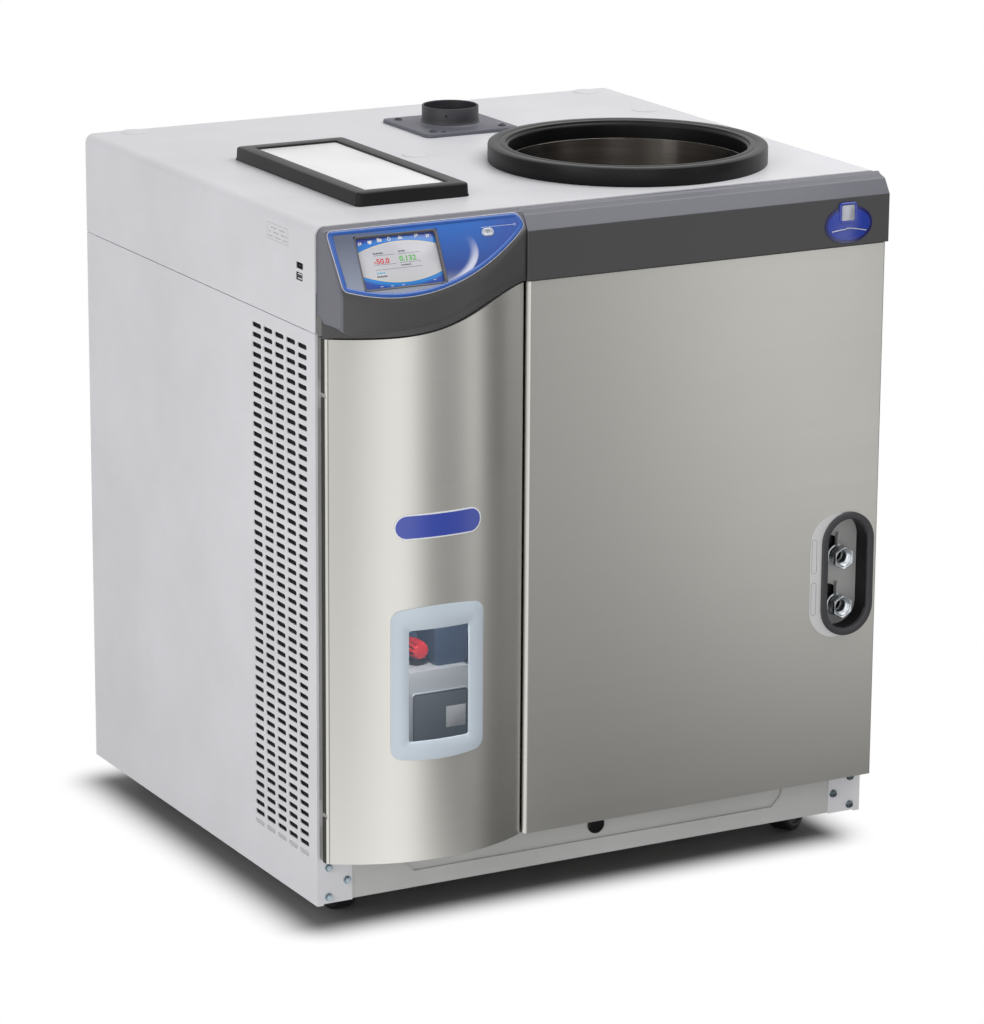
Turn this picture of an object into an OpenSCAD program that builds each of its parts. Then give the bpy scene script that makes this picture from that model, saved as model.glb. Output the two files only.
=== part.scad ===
// Console freeze dryer: floor-standing cabinet on four casters, with an
// upright cold collector, a tilted touch-screen fascia and a hinged door in
// front of the vacuum pump. Millimetres, +Z up, the front faces -Y.
// The origin is at the middle of the footprint, on the floor.

/* [Cabinet] */
// Width over the side panels
body_w = 802; // [760:1:860]
// Depth from the front rail to the rear panel
body_d = 682; // [640:1:740]
// Height from the lower edge of the panels to the top of the cover
body_h = 863; // [850:1:900]
// Height of the top cover, from its seam to its top
cover_h = 132; // [128:1:137]
// Clear height under the side panels
ground = 45; // [40:1:50]
// Sheet thickness of the panels
sheet = 1.5; // [1.2:0.1:2]
// Bend radius of the long edges of the top cover
cover_r = 12; // [8:1:14]
// Height of the foot rail and of the panel tabs
rail_h = 60; // [58:1:62]

/* [Side vents] */
// Columns of slots
vent_cols = 5; // [3:1:5]
// Rows of slots
vent_rows = 52; // [20:1:52]
// Length of one slot
slot_l = 25.4; // [20:0.1:27]
// Height of one slot
slot_h = 6.35; // [5:0.05:8]

/* [Fascia] */
// How far the control pod stands in front of the cabinet
fascia_front = 62.5; // [58:0.5:66]
// Radius of the bowed front of the control pod, seen from above
pod_r = 488; // [480:1:500]
// Rise of the tilted face per unit of depth
tilt_slope = 1.9; // [1.8:0.05:2]
// Wall of the moulded pod
pod_wall = 3; // [2.5:0.1:3.5]
// Height that the lower edge of the pod climbs from left to right
arch_rise = 46; // [40:1:48]

/* [Door] */
// Radius of the bowed door skin, seen from above
door_r = 246; // [244:0.5:248]
// Depth of the door's left edge
door_ret = 14.1; // [13.5:0.1:15]
// Clear gap over and beside the door
door_gap = 2; // [1.5:0.1:2.5]

/* [Collector] */
// Inner radius of the collector chamber
chamber_r = 154; // [145:1:156]
// Depth of the collector chamber below the top of the cover
chamber_h = 263; // [240:1:280]
// Outer radius of the rubber ring
ring_r = 180.6; // [176:0.2:184]
// Height of the rubber ring
ring_h = 23.6; // [18:0.2:28]
// Turns of the collector coil
coil_turns = 8; // [4:1:8]

/* [Casters] */
// Radius of a caster wheel
wheel_r = 38; // [34:1:38]
// Width of a caster wheel
wheel_w = 30; // [24:1:32]

/* [Hidden] */
$fn = 96;
e = 0.5;                        // overrun of a cut
fit = 0.06;                     // radial clearance of a running fit
weld = 0.05;                    // seam between the sheets of a welded frame
seam_z = body_h - cover_h;      // seam under the top cover
rear_out = 6;                   // how far the rear fittings stand out
y_mid = (body_d + rear_out - fascia_front) / 2;
pod_cx = 95.2;  pod_cy = pod_r - fascia_front; // centre of the pod's front arc
pod_x1 = 274.5;                 // joint between the pod and the fascia band
arch_x0 = 30;                   // where the lower edge of the pod starts to climb
arch_z0 = seam_z - 2;           // lower edge of the pod at the left
band_z0 = arch_z0 + arch_rise;  // lower edge of the fascia band
face_y = -18; face_z = body_h - 5.0; // a point on the tilted face's top line
tilt = atan(tilt_slope);
door_x0 = 5.5; door_x1 = 274.2; door_z0 = rail_h;
door_cx = 147.4;                // centre of the door's arc
door_cy = sqrt(pow(door_r, 2) - pow(door_cx - door_x0, 2)) - door_ret;
hinge_x = door_x0 + 7.5; hinge_y = -9; // vertical hinge axis of the door
swing_x = hinge_x - 3.8;        // the door's back corner is cut away up to
swing_y = hinge_y + 4.4;        // here, so that it clears the cabinet
panel_x0 = 276.2; panel_x1 = body_w - 3.5; panel_y = -29;
pan_z = 53;                     // underside of the base pan
mull_x = 262;                   // left edge of the centre mullion
col_x = body_w - 254; col_y = 197.7; // centre of the collector
floor_z = body_h - chamber_h;   // underside of the chamber's floor
deck_z = floor_z - 38;          // top of the shelf under its insulation
port_x = body_w - 344; port_y = 515; // centre of the top spigot
vent_pitch_x = 31.75; vent_pitch_z = 12.7; vent_y0 = 35.3;
vent_z1 = seam_z - 21.5;
rows = min(vent_rows, floor((vent_z1 - 42) / vent_pitch_z) + 1);
drain_x = body_w - 49; drain_z = 340; drain_w = 78.8; drain_h = 165.5;
drain_ring = 9;
fit_z = [drain_z - 47, drain_z + 19]; // heights of the two drain couplings
win_x0 = 77.3; win_x1 = 203.3; win_z0 = rail_h + 140; win_z1 = win_z0 + 181;
pane_x0 = 99.3; pane_x1 = 181; pane_z0 = win_z0 + 16.5; pane_z1 = win_z1 - 21.5;
pump_x0 = 112; pump_x1 = 252; pump_y0 = 62; shelf_z = 57;
knob_x = pump_x0 + 73; knob_z = 286; // gas ballast knob
hose_x = 190; hose_z = floor_z + 40; // vacuum hose riser, its elbow height
arm_z = [rail_h + 60, seam_z - 76]; // heights of the two hinge arms
usb_z = body_h - 77;            // foot of the block of sockets
caster_xy = [[76, 76, 0], [body_w - 76, 76, -55],
             [76, body_d - 74, 0], [body_w - 76, body_d - 74, 0]];
trail = 25;                     // caster trail
fan_x = body_w - 312; fan_z = 220; fan_r = 122;
cond_y = body_d - 126;          // front of the condenser
comp_x = body_w - 182; comp_y = 320; // centre of the compressor

// ---- shared shapes -------------------------------------------------------

// Cabinet axes: X from the left side, Y from the front rail, Z from the
// lower edge of the panels.
module place() translate([-body_w / 2, -y_mid, ground]) children();
module box(x0, x1, y0, y1, z0, z1)
  translate([x0, y0, z0]) cube([x1 - x0, y1 - y0, z1 - z0]);
// A drawing in X and Z, carried along Y
module along_y(y0, y1)
  translate([0, y1, 0]) rotate([90, 0, 0]) linear_extrude(y1 - y0) children();
// A drawing in Y and Z, carried along X
module along_x(x0, x1)
  translate([x0, 0, 0]) rotate([90, 0, 90]) linear_extrude(x1 - x0) children();
// A drawing in plan, carried up
module up(z0, z1) translate([0, 0, z0]) linear_extrude(z1 - z0) children();
module rod_z(x, y, z0, z1, r) translate([x, y, z0]) cylinder(r = r, h = z1 - z0);
module rod_y(x, z, y0, y1, r)
  translate([x, y1, z]) rotate([90, 0, 0]) cylinder(r = r, h = y1 - y0);
module rod_x(y, z, x0, x1, r)
  translate([x0, y, z]) rotate([0, 90, 0]) cylinder(r = r, h = x1 - x0);
module rect2(x0, x1, y0, y1) translate([x0, y0]) square([x1 - x0, y1 - y0]);
// Rectangle with round corners
module round_rect(x0, x1, y0, y1, r) {
  rect2(x0 + r, x1 - r, y0, y1);
  rect2(x0, x1, y0 + r, y1 - r);
  for (x = [x0 + r, x1 - r], y = [y0 + r, y1 - r]) translate([x, y]) circle(r);
}
// Straight slot with round ends, lying along X
module slot2(l, h) {
  square([l - h, h], center = true);
  for (s = [-1, 1]) translate([s * (l - h) / 2, 0]) circle(h / 2, $fn = 24);
}
// Upright racetrack about a centre
module racetrack(cx, cz, w, h) {
  rect2(cx - w / 2, cx + w / 2, cz - (h - w) / 2, cz + (h - w) / 2);
  for (s = [-1, 1]) translate([cx, cz + s * (h - w) / 2]) circle(w / 2);
}
// Ring drawn in plan
module ring2(ro, ri) difference() { circle(ro); circle(ri); }

// ---- chassis -------------------------------------------------------------

// Welded frame: base pan, foot rail, posts, top rails, divider and shelf.
// Its sheets meet along weld seams, so each is a solid of its own.
module chassis() color([0.60, 0.60, 0.61]) place() {
  x1 = body_w - sheet; y1 = body_d - sheet; back_y = 5.5 + weld;
  pan_top = pan_z + 12; rail_top = rail_h + 14;
  // base pan between its side and rear rails
  box(sheet + 2 + weld, x1 - 2 - weld, back_y, y1 - 2 - weld, pan_z, pan_z + 2);
  for (x = [sheet, x1 - 2]) box(x, x + 2, 4 + weld, y1 - 2 - weld, 5, pan_top);
  box(sheet, x1, y1 - 2, y1, 5, pan_top);
  foot_rail(rail_top);
  // corner posts of angle section
  for (s = [0, 1]) translate([s * body_w, 0, 0]) mirror([s, 0, 0]) {
    corner_post(sheet, sheet, 1, rail_top + weld, band_z0 + 2 - weld);
    corner_post(sheet, y1, -1, pan_top + weld, body_h - 63 - weld);
  }
  // rails under the top cover, with the way through behind the pod
  for (x = [16, body_w - 18])
    box(x, x + 2, sheet + 2 + weld, y1 - 2 - weld, body_h - 33, body_h - sheet);
  box(16, body_w - 16, y1 - 2, y1, body_h - 63, body_h - sheet);
  along_y(sheet, sheet + 2) difference() {
    rect2(16, body_w - 16, band_z0 + 2, body_h - sheet);
    pod_way();
  }
  // mullion, and the divider between the pump bay and the cold side
  box(mull_x, 300, sheet, 4, rail_top + weld, band_z0 + 2 - weld);
  difference() {
    box(285, 287, back_y, y1 - 2 - weld, pan_z + 2 + weld, body_h - 63);
    rod_x(col_y, hose_z, 280, 290, 20);
  }
  // folded shelf that carries the insulated chamber
  difference() {
    union() {
      box(287 + weld, x1 - 2 - weld, back_y, 400, deck_z - 2, deck_z);
      box(287 + weld, x1 - 2 - weld, 398, 400, deck_z - 32, deck_z);
    }
    rod_z(col_x, col_y, deck_z - 7, deck_z + 3, 14);
  }
}
// Opening behind the pod for its wiring
module pod_way() round_rect(40, 150, band_z0 + 8, body_h - 17, 6);
// Post of angle section from a corner, its depth running along +Y or -Y
module corner_post(x, y, s, z0, z1) translate([x, y, 0]) mirror([0, s < 0 ? 1 : 0, 0]) {
  box(0, 2, 0, 25, z0, z1);
  box(0, 24, 0, 2, z0, z1);
}

// Foot rail with its toe recess, its lower fold, and the plate behind it
module foot_rail(top) {
  along_y(sheet, 4) difference() {
    rect2(sheet, body_w - sheet, 3, top);
    polygon([[136, 24.5], [body_w - 136, 24.5], [body_w - 123, 38],
      [body_w - 121, 46], [body_w - 121, rail_h + 4],
      [121, rail_h + 4], [121, 46], [123, 38]]);
  }
  box(50, body_w - 50, 4 + weld, 10, 3, 5);
  difference() {
    box(110, body_w - 110, 4 + weld, 5.5, 5 + weld, top);
    rod_y(body_w / 2, 43, 3, 7, 9);
  }
}

module toe_plug() color([0.05, 0.05, 0.05]) place() {
  rod_y(body_w / 2, 43, 0.5, 4, 12);
  rod_y(body_w / 2, 43, 3, 9, 9);
}

// One side panel, drawn for the left side
module side_sheet() {
  along_x(0, sheet) difference() {
    rect2(0, body_d, 0, seam_z);
    for (c = [0 : vent_cols - 1], r = [0 : rows - 1])
      translate([vent_y0 + c * vent_pitch_x, vent_z1 - r * vent_pitch_z])
        slot2(slot_l, slot_h);
  }
  along_y(0, sheet) difference() {
    union() {
      rect2(0, 3.5, 0, seam_z);
      rect2(0, 48.7, 0, rail_h - 0.4);
      rect2(0, 9.5, rail_h - 1, rail_h + 5.6);
    }
    translate([9.5, rail_h + 5.6]) circle(6, $fn = 48);
    rect2(9, 49, -e, 2);
  }
  box(0, 20, body_d - sheet, body_d, 0, seam_z);
}
module left_side_panel() color([0.86, 0.86, 0.87]) place() side_sheet();
module right_side_panel() color([0.86, 0.86, 0.87]) place()
  translate([body_w, 0, 0]) mirror([1, 0, 0]) side_sheet();

// Rear panel with a vent field behind the fan and a hole for the inlet
module rear_panel() color([0.86, 0.86, 0.87]) place()
  along_y(body_d - sheet, body_d) difference() {
    rect2(20, body_w - 20, 0, seam_z);
    for (c = [-3 : 3], r = [-9 : 9])
      if (norm([c * vent_pitch_x, r * vent_pitch_z]) < fan_r)
        translate([fan_x + c * vent_pitch_x, fan_z + r * vent_pitch_z])
          slot2(slot_l, slot_h);
    rect2(90, 130, 560, 600);
  }

// ---- top cover -----------------------------------------------------------

// Outline of the cover seen from the front, drawn in by i
module cover_outline(i, z0) {
  rect2(i, body_w - i, z0, body_h - cover_r);
  rect2(cover_r, body_w - cover_r, z0, body_h - i);
  for (x = [cover_r, body_w - cover_r])
    translate([x, body_h - cover_r]) circle(cover_r - i);
}
// Welded cover: a flat top, two sides with the bends, a rear and a front wall
module top_cover() color([0.90, 0.90, 0.91]) place() {
  z0 = seam_z + 1; in = sheet + weld;
  difference() {
    box(cover_r + weld, body_w - cover_r - weld, 0, body_d, body_h - sheet, body_h);
    rod_z(col_x, col_y, body_h - 5, body_h + 1, chamber_r + 4);
    rod_z(port_x, port_y, body_h - 5, body_h + 1, 36);
    for (p = plug_xy()) rod_z(p[0], p[1], body_h - 5, body_h + 1, 15);
  }
  for (x = [0, body_w - cover_r]) difference() {
    along_y(0, body_d) intersection() {
      difference() {
        cover_outline(0, z0);
        cover_outline(sheet, z0 - e);
      }
      rect2(x, x + cover_r, z0 - e, body_h + 1);
    }
    // openings for the sockets in the left skirt
    box(-1, 3, 33, 50, usb_z + 3.5, usb_z + 13.5);
    box(-1, 3, 31.5, 49.5, usb_z + 18, usb_z + 26);
  }
  along_y(body_d - sheet, body_d) cover_outline(in, z0);
  along_y(0, sheet) difference() {
    cover_outline(in, band_z0 + 6);
    pod_way();
  }
}
function plug_xy() = [[63, body_d - 16], [321, 354],
                      [body_w - 50, body_d - 16], [body_w - 48, 506]];
module hole_plugs() color([0.88, 0.88, 0.89]) place()
  for (p = plug_xy()) translate([p[0], p[1], body_h]) {
    translate([0, 0, -sheet]) cylinder(r = 15, h = sheet + 0.2);
    rotate_extrude() intersection() {
      translate([0, 2 - 90]) circle(90, $fn = 256);
      rect2(0, 17.5, 0, 3);
    }
  }

// ---- fascia: the moulded control pod and the flat band ------------------

// Lower edge of the pod: level at the left, then an S-shaped climb
function arch(x) = arch_z0 + (x <= arch_x0 ? 0 :
  arch_rise * (1 - cos(180 * pow(min(1, (x - arch_x0) / (pod_x1 - arch_x0)), 1.7))) / 2);
// Lower edge of the band over it, with its round left corner
function band_edge(x) = arch(x) + 10 * (1 - pow(max(0, x) / pod_x1, 4))
  + (x < 21 ? 12 - sqrt(max(0, 144 - pow(21 - x, 2))) : 0);
function steps(x0, x1, n) = [for (k = [0 : n]) x0 + (x1 - x0) * k / n];

// Region above a given lower edge, seen from the front
module above(z_of, lift) polygon(concat(
  [for (x = steps(0, pod_x1, 44)) [x, (z_of == "arch" ? arch(x) : band_edge(max(9, x))) + lift]],
  [[pod_x1, body_h + 20], [0, body_h + 20]]));

// Side profile of the pod, drawn in by i: rim, tilted face, under-cut
module pod_side(i) {
  top = face_z + tilt_slope - i / cos(tilt);
  z = arch_z0 + i;
  polygon([[-75, z + 7], [-17, z + 15], [-9, z + 26], [1, z + 26],
    [1, body_h - 1.2 - i], [-7, body_h - 1.8 - i], [-13, body_h - 3.4 - i],
    [face_y + 1, top],
    [-75, top - tilt_slope * (75 + face_y + 1)]]);
}
// Plan of the pod, drawn in by i
module pod_plan(i) intersection() {
  translate([pod_cx, pod_cy]) circle(pod_r - i, $fn = 512);
  polygon([[2 + i, 1], [9.6 + i, -75], [pod_x1 - i, -75], [pod_x1 - i, 1]]);
}
module pod_form(i) intersection() {
  up(arch_z0 - 29, body_h + 20) pod_plan(i);
  along_y(-80, 1) intersection() {
    above("band", i);
    round_rect(2 + i, 400, arch_z0 - 99, body_h - 0.6 - i, 12 - i);
  }
  along_x(-1, pod_x1 + 1) pod_side(i);
}
// Lip under the pod that carries the door's curve up to the fascia
module pod_lip() intersection() {
  up(arch_z0 - 29, band_z0) difference() {
    intersection() {
      translate([door_cx, door_cy]) circle(door_r + 0.6, $fn = 512);
      translate([pod_cx, pod_cy]) circle(pod_r - 0.4, $fn = 512);
      rect2(2.6, pod_x1, -80, 0);
    }
    translate([door_cx, door_cy]) circle(door_r - 2.4, $fn = 512);
  }
  along_y(-80, 1) intersection() {
    above("arch", 0);
    rect2(0, pod_x1, arch_z0 - 29, band_z0);
  }
}
module fascia_pod() color([0.29, 0.29, 0.30]) place() difference() {
  union() {
    difference() {
      intersection() { pod_form(0); front_half(); }
      pod_form(pod_wall);
    }
    intersection() {
      pod_lip();
      union() {
        translate([0, 0, arch_z0]) along_x(-1, 300)
          polygon([[-80, -29], [0, -29], [0, 28], [-9, 28], [-17, 17], [-80, 10]]);
        pod_form(0.2);
      }
    }
  }
  on_face() translate([0, 0, -12]) linear_extrude(24) screen_hole(0);
  on_face() translate([220.5, -19.5, -12]) linear_extrude(24) button_shape(0.4);
}
// All that lies in front of the cabinet's front plane
module front_half() box(0, body_w, -80, 0, arch_z0 - 29, body_h + 40);
// Local axes of the tilted face: x across, y up the slope, z out of it
module on_face() translate([0, face_y, face_z]) rotate([tilt, 0, 0]) children();
module screen_hole(i) round_rect(40.2 + i, 152.8 - i, -77.2 + i, -8.4 - i, 5 - i / 4);
module button_shape(g) slot2(16.5 + 2 * g, 10.5 + 2 * g);

// Blue overlay on the tilted face: raised rim round a thin field
module overlay_outline(i) intersection() {
  up(arch_z0 - 29, body_h + 20) intersection() {
    translate([pod_cx, pod_cy]) circle(pod_r - 2.2 - i, $fn = 512);
    polygon([[6 + i, 1], [12.4 + i, -75], [pod_x1 - i, -75], [pod_x1 - i, 1]]);
  }
  along_y(-80, 1) round_rect(0, 273.5 - i, arch_z0 - 99, body_h - 4.4 - i, 15 - i);
}
module control_overlay() color([0.10, 0.25, 0.62]) place() difference() {
  intersection() {
    on_face() translate([0, -110, 0]) cube([280, 112, 2]);
    overlay_outline(0);
  }
  intersection() {
    on_face() translate([0, -110, 1]) cube([280, 112, 3]);
    overlay_outline(4);
  }
  on_face() translate([0, 0, -3]) linear_extrude(8) screen_hole(0);
  on_face() translate([220.5, -19.5, -3]) linear_extrude(8) button_shape(0.4);
}
module screen_frame() color([0.45, 0.45, 0.46]) place() on_face()
  difference() {
    translate([0, 0, -4]) linear_extrude(5.4) screen_hole(0);
    translate([0, 0, -5]) linear_extrude(9) screen_hole(3);
  }
module touchscreen() color([0.75, 0.80, 0.88]) place() on_face() {
  translate([0, 0, -7]) linear_extrude(3) screen_hole(0);
  translate([0, 0, -4]) linear_extrude(1.2) screen_hole(3);
  translate([50, -70, -16]) cube([92, 54, 9.2]);
}
module power_button() color([0.75, 0.76, 0.78]) place()
  on_face() translate([220.5, -19.5, -pod_wall - 3.3]) {
    linear_extrude(pod_wall + 5.9) button_shape(0);
    linear_extrude(3) button_shape(3);
  }

// Side profile of the straight fascia band, drawn in by i
module band_side(i) polygon([[1, band_z0 + i], [-31 + i, band_z0 + i],
  [-31 + i, body_h - 25.8], [-19 + i * 0.8, body_h - 7.2 - i * 0.6],
  [-7, body_h - 3.5 - i], [-5, body_h - 1.2 - i], [1, body_h - 1 - i]]);
module fascia_band() color([0.29, 0.29, 0.30]) place() difference() {
  intersection() {
    along_x(pod_x1 + 0.3, body_w) band_side(0);
    front_half();
  }
  along_x(pod_x1 + 0.3 + pod_wall, body_w - pod_wall) band_side(pod_wall);
}
// Plain oval badge with a small square chip on it
function oval(a, b, n) = [for (k = [0 : n - 1]) [a * cos(360 * k / n), b * sin(360 * k / n)]];
module panel_badge() color([0.12, 0.22, 0.60]) place() {
  translate([body_w - 62, -31, body_h - 60]) rotate([90, 0, 0])
    linear_extrude(1.6) polygon(oval(35.5, 24.5, 64));
  along_y(-34, -32.6) round_rect(body_w - 76, body_w - 52, body_h - 57, body_h - 37, 3);
}

// ---- door over the pump bay ---------------------------------------------

// Plan of the door, drawn in by i
module door_plan(i) intersection() {
  translate([door_cx, door_cy]) circle(door_r - i, $fn = 360);
  rect2(door_x0 + i, door_x1 - i, -80, -1.5);
}
// Front outline of the door, under the arch of the pod
module door_front(lo, hi) polygon(concat(
  [[door_x1 + 1, door_z0 + lo], [door_x0 - 1, door_z0 + lo]],
  [for (x = steps(0, pod_x1 + 1, 44)) [x, arch(x) - door_gap - hi]]));
// Wall of a given thickness that follows the door's curve, cut by a drawing
module door_curve(ri, ro) intersection() {
  up(0, body_h) difference() {
    translate([door_cx, door_cy]) circle(ro, $fn = 360);
    translate([door_cx, door_cy]) circle(ri, $fn = 360);
    rect2(-300, 600, -10, 600);
  }
  along_y(-90, 0) children();
}
// Corner of the door that would strike the cabinet as it swings
module swing_room() box(-5, swing_x, swing_y, 5, 0, body_h);
module door_skin() color([0.70, 0.70, 0.69]) place() difference() {
  intersection() {
    up(door_z0, body_h) difference() {
      door_plan(0);
      intersection() {
        translate([door_cx, door_cy]) circle(door_r - sheet, $fn = 360);
        rect2(door_x0 + sheet, door_x1 - sheet, -80, 5);
      }
    }
    along_y(-90, 0) door_front(0, 0);
  }
  // window hole, and notches in the left return for the hinge arms
  door_cut() round_rect(pane_x0 - 4, pane_x1 + 4, pane_z0 - 4, pane_z1 + 4, 6);
  for (z = arm_z) box(0, door_x0 + 2.5, -13.4, 0, z - 0.6, z + 4.6);
  swing_room();
}
module door_cut() along_y(-90, -30) children();
// Inner pan: back plate, floor, arched top and the ears for the pins. Its top
// lies lower than the skin's, because it passes under the pod's lip.
pan_drop = 3;
module door_frame() color([0.62, 0.62, 0.63]) place() difference() {
  union() {
    intersection() {
      up(door_z0, body_h) door_plan(sheet);
      along_y(-3, -1.5) difference() {
        door_front(0, pan_drop);
        round_rect(60, 222, 170, 400, 10);
      }
    }
    intersection() {
      up(door_z0, body_h) door_plan(sheet);
      along_y(-90, -1.5) union() {
        rect2(0, 300, door_z0, door_z0 + sheet);
        difference() {
          door_front(0, pan_drop);
          door_front(-5, pan_drop + sheet);
        }
      }
    }
    for (z = arm_z, s = [-2.7, 4.2]) hinge_ear(z + s);
  }
  for (z = arm_z) {
    box(0, hinge_x + 12, -17, 2, z - 0.2, z + 4.2);
    rod_z(hinge_x, hinge_y, z - 4, z + 8, 2.5 + fit);
  }
  swing_room();
}
module hinge_ear(z) up(z, z + 2.5) {
  translate([hinge_x, hinge_y]) circle(5.6);
  rect2(swing_x, 34, hinge_y + 1, -1.5);
}
module hinge_arms() color([0.35, 0.35, 0.36]) place() for (z = arm_z)
  difference() {
    union() {
      up(z, z + 4) {
        translate([hinge_x, hinge_y]) circle(4.6);
        rect2(hinge_x - 3, hinge_x + 3, hinge_y, sheet);
      }
      box(hinge_x - 9, hinge_x + 12, 0, sheet, z - 16, z + 20);
    }
    rod_z(hinge_x, hinge_y, z - 4, z + 8, 2.5);
  }
module hinge_pins() color([0.8, 0.8, 0.8]) place()
  for (z = arm_z) rod_z(hinge_x, hinge_y, z - 2.7, z + 6.9, 2.5);
module door_catch() color([0.25, 0.25, 0.26]) place()
  box(mull_x + 1, mull_x + 9, -1, sheet, 380, 430);
module window_frame() color([0.78, 0.83, 0.87]) place()
  door_curve(door_r, door_r + 1.6) difference() {
    round_rect(win_x0, win_x1, win_z0, win_z1, 11);
    round_rect(pane_x0, pane_x1, pane_z0, pane_z1, 2.5);
  }
module window_pane() color([0.75, 0.85, 0.92, 0.4]) place()
  door_curve(door_r - sheet, door_r)
    round_rect(pane_x0 - 4, pane_x1 + 4, pane_z0 - 4, pane_z1 + 4, 6);
module door_badge() color([0.12, 0.25, 0.62]) place()
  door_curve(door_r + 0.2, door_r + 1.1) round_rect(81, 199, win_z1 + 94, win_z1 + 126, 15.9);

// ---- flat front panel and the drain recess ------------------------------

module front_panel() color([0.70, 0.70, 0.69]) place() difference() {
  union() {
    up(rail_h, band_z0 - 1) difference() {
      panel_plan(0);
      panel_plan(sheet);
    }
    for (z = [rail_h, band_z0 - 1 - sheet]) up(z, z + sheet) panel_plan(0);
  }
  // small round corners at the foot
  along_y(panel_y - 1, panel_y + 12) difference() {
    rect2(panel_x1 - 6, panel_x1 + 1, rail_h - 1, rail_h + 6);
    translate([panel_x1 - 6, rail_h + 6]) circle(6);
  }
  along_y(panel_y - 1, panel_y + 5) racetrack(drain_x, drain_z, 64.5, 152.5);
}
// Plan of the panel, drawn in by i, with a rolled left edge
module panel_plan(i) {
  rect2(panel_x0 + 6, panel_x1 - i, panel_y + i, i > 0 ? 3 : 0);
  rect2(panel_x0 + i, panel_x1 - i, panel_y + 6, i > 0 ? 3 : 0);
  translate([panel_x0 + 6, panel_y + 6]) circle(6 - i, $fn = 48);
}
module drain_pocket() color([0.10, 0.10, 0.11]) place()
  along_y(panel_y, 0) difference() {
    racetrack(drain_x, drain_z, 64.5, 152.5);
    racetrack(drain_x, drain_z, 60.5, 148.5);
  }
module drain_trim() color([0.24, 0.24, 0.25]) place()
  along_y(panel_y - 4, panel_y) difference() {
    racetrack(drain_x, drain_z, drain_w, drain_h);
    racetrack(drain_x, drain_z, drain_w - 2 * drain_ring, drain_h - 2 * drain_ring);
  }
module drain_label_plate() color([0.80, 0.80, 0.80]) place()
  along_y(panel_y - 1, panel_y) difference() {
    union() {
      rect2(drain_x - 17, drain_x, drain_z - drain_h / 2, drain_z + drain_h / 2);
      racetrack(drain_x - 17, drain_z, drain_w, drain_h);
    }
    racetrack(drain_x, drain_z, drain_w, drain_h);
  }
module drain_bracket() color([0.66, 0.66, 0.66]) place() difference() {
  along_y(-4, -2) difference() {
    racetrack(drain_x, drain_z, 60.5, 148.5);
    for (z = fit_z) intersection() {
      translate([drain_x - 14, z + 12]) circle(17);
      rect2(drain_x - 40, drain_x - 2, z - 12, z + 40);
    }
  }
  for (z = fit_z) rod_y(drain_x, z, -6, 0, 8);
}
module drain_couplings() color([0.72, 0.73, 0.74]) place()
  for (z = fit_z) difference() {
    union() {
      translate([drain_x, -12, z]) rotate([90, 30, 0]) cylinder(r = 15.6, h = 11, $fn = 6);
      rod_y(drain_x, z, -13, -4, 13.5);
      rod_y(drain_x, z, -6, 24, 8);
    }
    rod_y(drain_x, z, -24, -14, 11.2);
    rod_y(drain_x, z, -15, 25, 5.5);
  }

// ---- collector -----------------------------------------------------------

// Chamber: drawn wall, welded floor with its drain, flange and coil clips
module collector_chamber() color([0.66, 0.66, 0.65]) place() {
  ro = chamber_r + sheet;
  difference() {
    translate([col_x, col_y, floor_z + 2 + weld]) linear_extrude(chamber_h - 2 - weld)
      ring2(ro, chamber_r);
    rod_x(col_y, hose_z, col_x - chamber_r - 5, col_x - chamber_r + 8, 13);
  }
  translate([col_x, col_y, body_h + weld]) linear_extrude(1.2 - weld)
    ring2(chamber_r + 18, chamber_r);
  difference() {
    union() {
      rod_z(col_x, col_y, floor_z, floor_z + 2, ro);
      rod_z(col_x, col_y, floor_z - 30, floor_z + 1, 10);
    }
    rod_z(col_x, col_y, deck_z - 2, floor_z + 10, 6);
  }
  for (a = [30, 150, 270]) translate([col_x, col_y, floor_z + 2 + weld])
    rotate([0, 0, a]) translate([131, -5, 0]) cube([3, 10, coil_turns * 22 + 8]);
}
// Foam round the chamber and under it
module chamber_insulation() color([0.80, 0.76, 0.62]) place() {
  ro = chamber_r + sheet;
  difference() {
    translate([col_x, col_y, deck_z]) linear_extrude(body_h - sheet - deck_z)
      ring2(188, ro);
    rod_x(col_y, hose_z, col_x - 200, col_x - 140, 17);
  }
  translate([col_x, col_y, deck_z]) linear_extrude(floor_z - deck_z)
    ring2(ro - weld, 10);
}
// Evaporator coil inside the chamber: one tube wound in a helix
coil_r = 125; coil_tube = 6; coil_n = 24; coil_pitch = 21;
function coil_point(k, j) = let (a = 360 * k / coil_n + 30, b = 45 * j,
    r = coil_r + coil_tube * cos(b))
  [r * cos(a), r * sin(a), coil_pitch * k / coil_n + coil_tube * sin(b)];
module collector_coil() color([0.75, 0.75, 0.74]) place() {
  n = coil_turns * coil_n;
  translate([col_x, col_y, floor_z + 16]) polyhedron(
    points = [for (k = [0 : n], j = [0 : 7]) coil_point(k, j)],
    faces = concat([[for (j = [0 : 7]) j]],
      [for (k = [0 : n - 1], j = [0 : 7])
        [k * 8 + j, (k + 1) * 8 + j, (k + 1) * 8 + (j + 1) % 8, k * 8 + (j + 1) % 8]],
      [[for (j = [7 : -1 : 0]) n * 8 + j]]));
}
module collector_gasket() color([0.05, 0.05, 0.06]) place()
  translate([col_x, col_y, body_h]) rotate_extrude($fn = 128)
    polygon([[chamber_r, 1.2], [chamber_r + 18, 1.2], [chamber_r + 18, 0],
      [ring_r, 0], [ring_r, ring_h - 2.5], [ring_r - 2, ring_h],
      [chamber_r + 2, ring_h], [chamber_r, ring_h - 1.5]]);

// ---- fittings on the top -------------------------------------------------

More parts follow.
